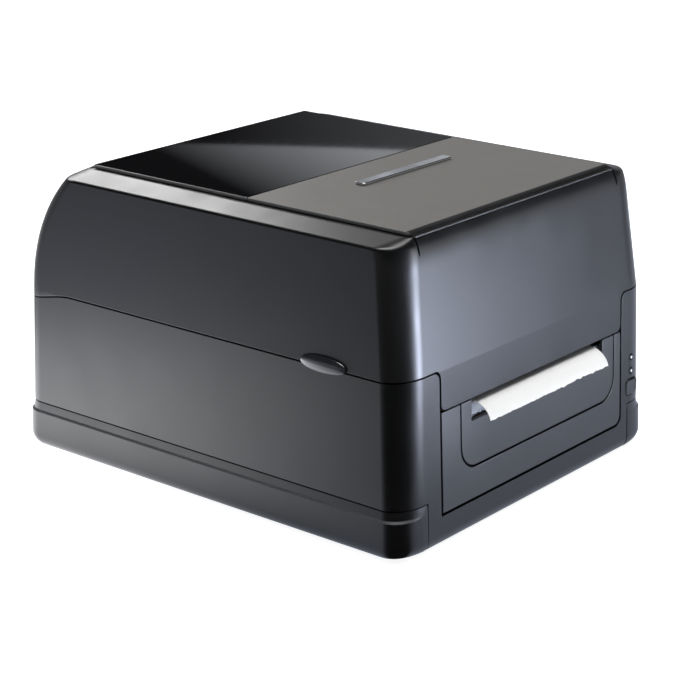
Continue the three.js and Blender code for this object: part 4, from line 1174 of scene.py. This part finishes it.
def add_reflected_patches():
    reach = 3000
    outline = [(-reach, -reach), (reach, -reach), (reach, reach), (-reach, reach)]
    card = new_object("reflected_card", [(x, y, 0.4) for x, y in outline], [(0, 1, 2, 3)])
    material = bpy.data.materials.new("reflected_card")
    material.use_nodes = True
    nodes = material.node_tree.nodes
    nodes.remove(nodes["Principled BSDF"])
    glow = Glow(material.node_tree, EVERYWHERE)
    for _, centre, size, turn, core, strength, colour in REFLECTED:
        glow.add(glow.patch(centre, size, turn, core), strength, colour)
    for start, end, keep in DARK_BEARINGS:
        glow.dim(glow.bearing(*DARK_CORNER, start, end), keep)
    strip = [glow.bearing(*DARK_CORNER, *turns) for turns in STRIP_BEARINGS]
    strip += [glow.distance(*DARK_CORNER, *reach) for reach in STRIP_REACH]
    lit = strip[0]
    for share in strip[1:]:
        lit = glow.math("MULTIPLY", lit, share)
    glow.add(lit, STRIP_STRENGTH, COOL)
    emission = glow.node("Emission", glow.total)
    glow.feed(nodes["Material Output"].inputs["Surface"], emission.outputs["Emission"])
    card.data.materials.append(material)
    card.visible_camera = False
    card.visible_diffuse = False
    card.visible_transmission = False
    card.visible_volume_scatter = False
    card.visible_shadow = False


def add_area_light(name, place, aim, width, height, radiance):
    lamp = bpy.data.lights.new(name, "AREA")
    lamp.shape = "RECTANGLE"
    lamp.size = width
    lamp.size_y = height
    lamp.energy = radiance * math.pi * width * height
    holder = bpy.data.objects.new(name, lamp)
    bpy.context.scene.collection.objects.link(holder)
    holder.location = place
    holder.rotation_mode = "QUATERNION"
    look = Vector(aim) - Vector(place)
    holder.rotation_quaternion = look.to_track_quat("-Z", "Y")
    holder.visible_camera = False


# The world, in degrees: elevation is from the horizon up, azimuth is from +Y towards +X.
ROOM_STRENGTH = 0.015
HORIZON = {"rise": (3, 10), "strength": 0.22}
WALL_EDGE = 13.1  # elevation of the pale wall's lower edge
WALL_SLOPE = 0.032  # how much it rises per degree of azimuth
WALL_TURN = 44.6  # azimuth where the edge stands at that elevation
WALL_START = {"turn": (-25.7, -19.7), "per_rise": -2, "strength": 0.78}
WALL_TOP = (18, 26)
WALL_END = (75, 110)
UNDER_WALL = {"turn": (2.6, 8.6), "strength": 0.14}
POST = {"start": (135, 139), "end": (151, 146), "rise": (2, 16), "strength": 11}


def add_world():
    """A dim room: pale at the horizon, a grey wall edge that the gloss panel mirrors, and a lit post
    that the cover's front corner mirrors."""
    world = bpy.data.worlds.new("studio")
    bpy.context.scene.world = world
    world.use_nodes = True
    sky = NodeMaker(world.node_tree)
    split = sky.node("SeparateXYZ", sky.node("TexCoord").outputs["Generated"])
    turn = sky.math("DEGREES", sky.math("ARCTAN2", split.outputs["X"], split.outputs["Y"]))
    rise = sky.math("DEGREES", sky.math("ARCSINE", split.outputs["Z"]))

    start, end = (WALL_TURN + t for t in WALL_START["turn"])
    leaning_turn = sky.math("ADD", turn, sky.math("MULTIPLY", rise, WALL_START["per_rise"]))
    wall = sky.ease(leaning_turn, start, end, 0, WALL_START["strength"], "LINEAR")
    drop = sky.math("MULTIPLY", sky.math("SUBTRACT", turn, WALL_TURN), -WALL_SLOPE)
    over_edge = sky.ease(sky.math("ADD", rise, drop), WALL_EDGE - 0.04, WALL_EDGE + 0.04)
    wall = sky.math("MULTIPLY", wall, over_edge)
    wall = sky.math("MULTIPLY", wall, sky.ease(rise, *WALL_TOP, 1, 0))
    start, end = (WALL_TURN + t for t in UNDER_WALL["turn"])
    below = sky.ease(turn, start, end, 0, UNDER_WALL["strength"], "LINEAR")
    below = sky.math("MULTIPLY", below, sky.math("SUBTRACT", 1, over_edge))
    wall = sky.math("MULTIPLY", sky.math("ADD", wall, below), sky.ease(turn, *WALL_END, 1, 0))

    post = sky.math("MULTIPLY", sky.ease(turn, *POST["start"]), sky.ease(turn, *POST["end"]))
    post = sky.math("MULTIPLY", post, sky.ease(rise, *POST["rise"], 1, 0))
    light = sky.math("ADD", wall, ROOM_STRENGTH)
    light = sky.math("ADD", light, sky.ease(rise, *HORIZON["rise"], HORIZON["strength"], 0))
    light = sky.math("ADD", light, sky.math("MULTIPLY", post, POST["strength"]))
    background = sky.nodes["Background"]
    background.inputs["Color"].default_value = (0.95, 0.98, 1.04, 1)
    sky.feed(background.inputs["Strength"], light)


# Area lights: place, aim, width and height in metres, and radiance.
LIGHTS = {
    "key": ((0.22, 0.68, 0.55), (-0.1, 0.05, 0.16), 0.5, 0.3, 6.4),
    "key_tail": ((0.58, 0.68, 0.82), (-0.1, -0.05, 0.16), 0.35, 0.35, 0.9),
    "overhead": ((0.1, -0.2, 2.2), (0, 0, 0.1), 1.6, 1.6, 6.8),
}

add_world()
add_floor()
add_reflected_patches()
for name, light in LIGHTS.items():
    add_area_light(name, *light)

bpy.context.scene.view_settings.view_transform = "Standard"
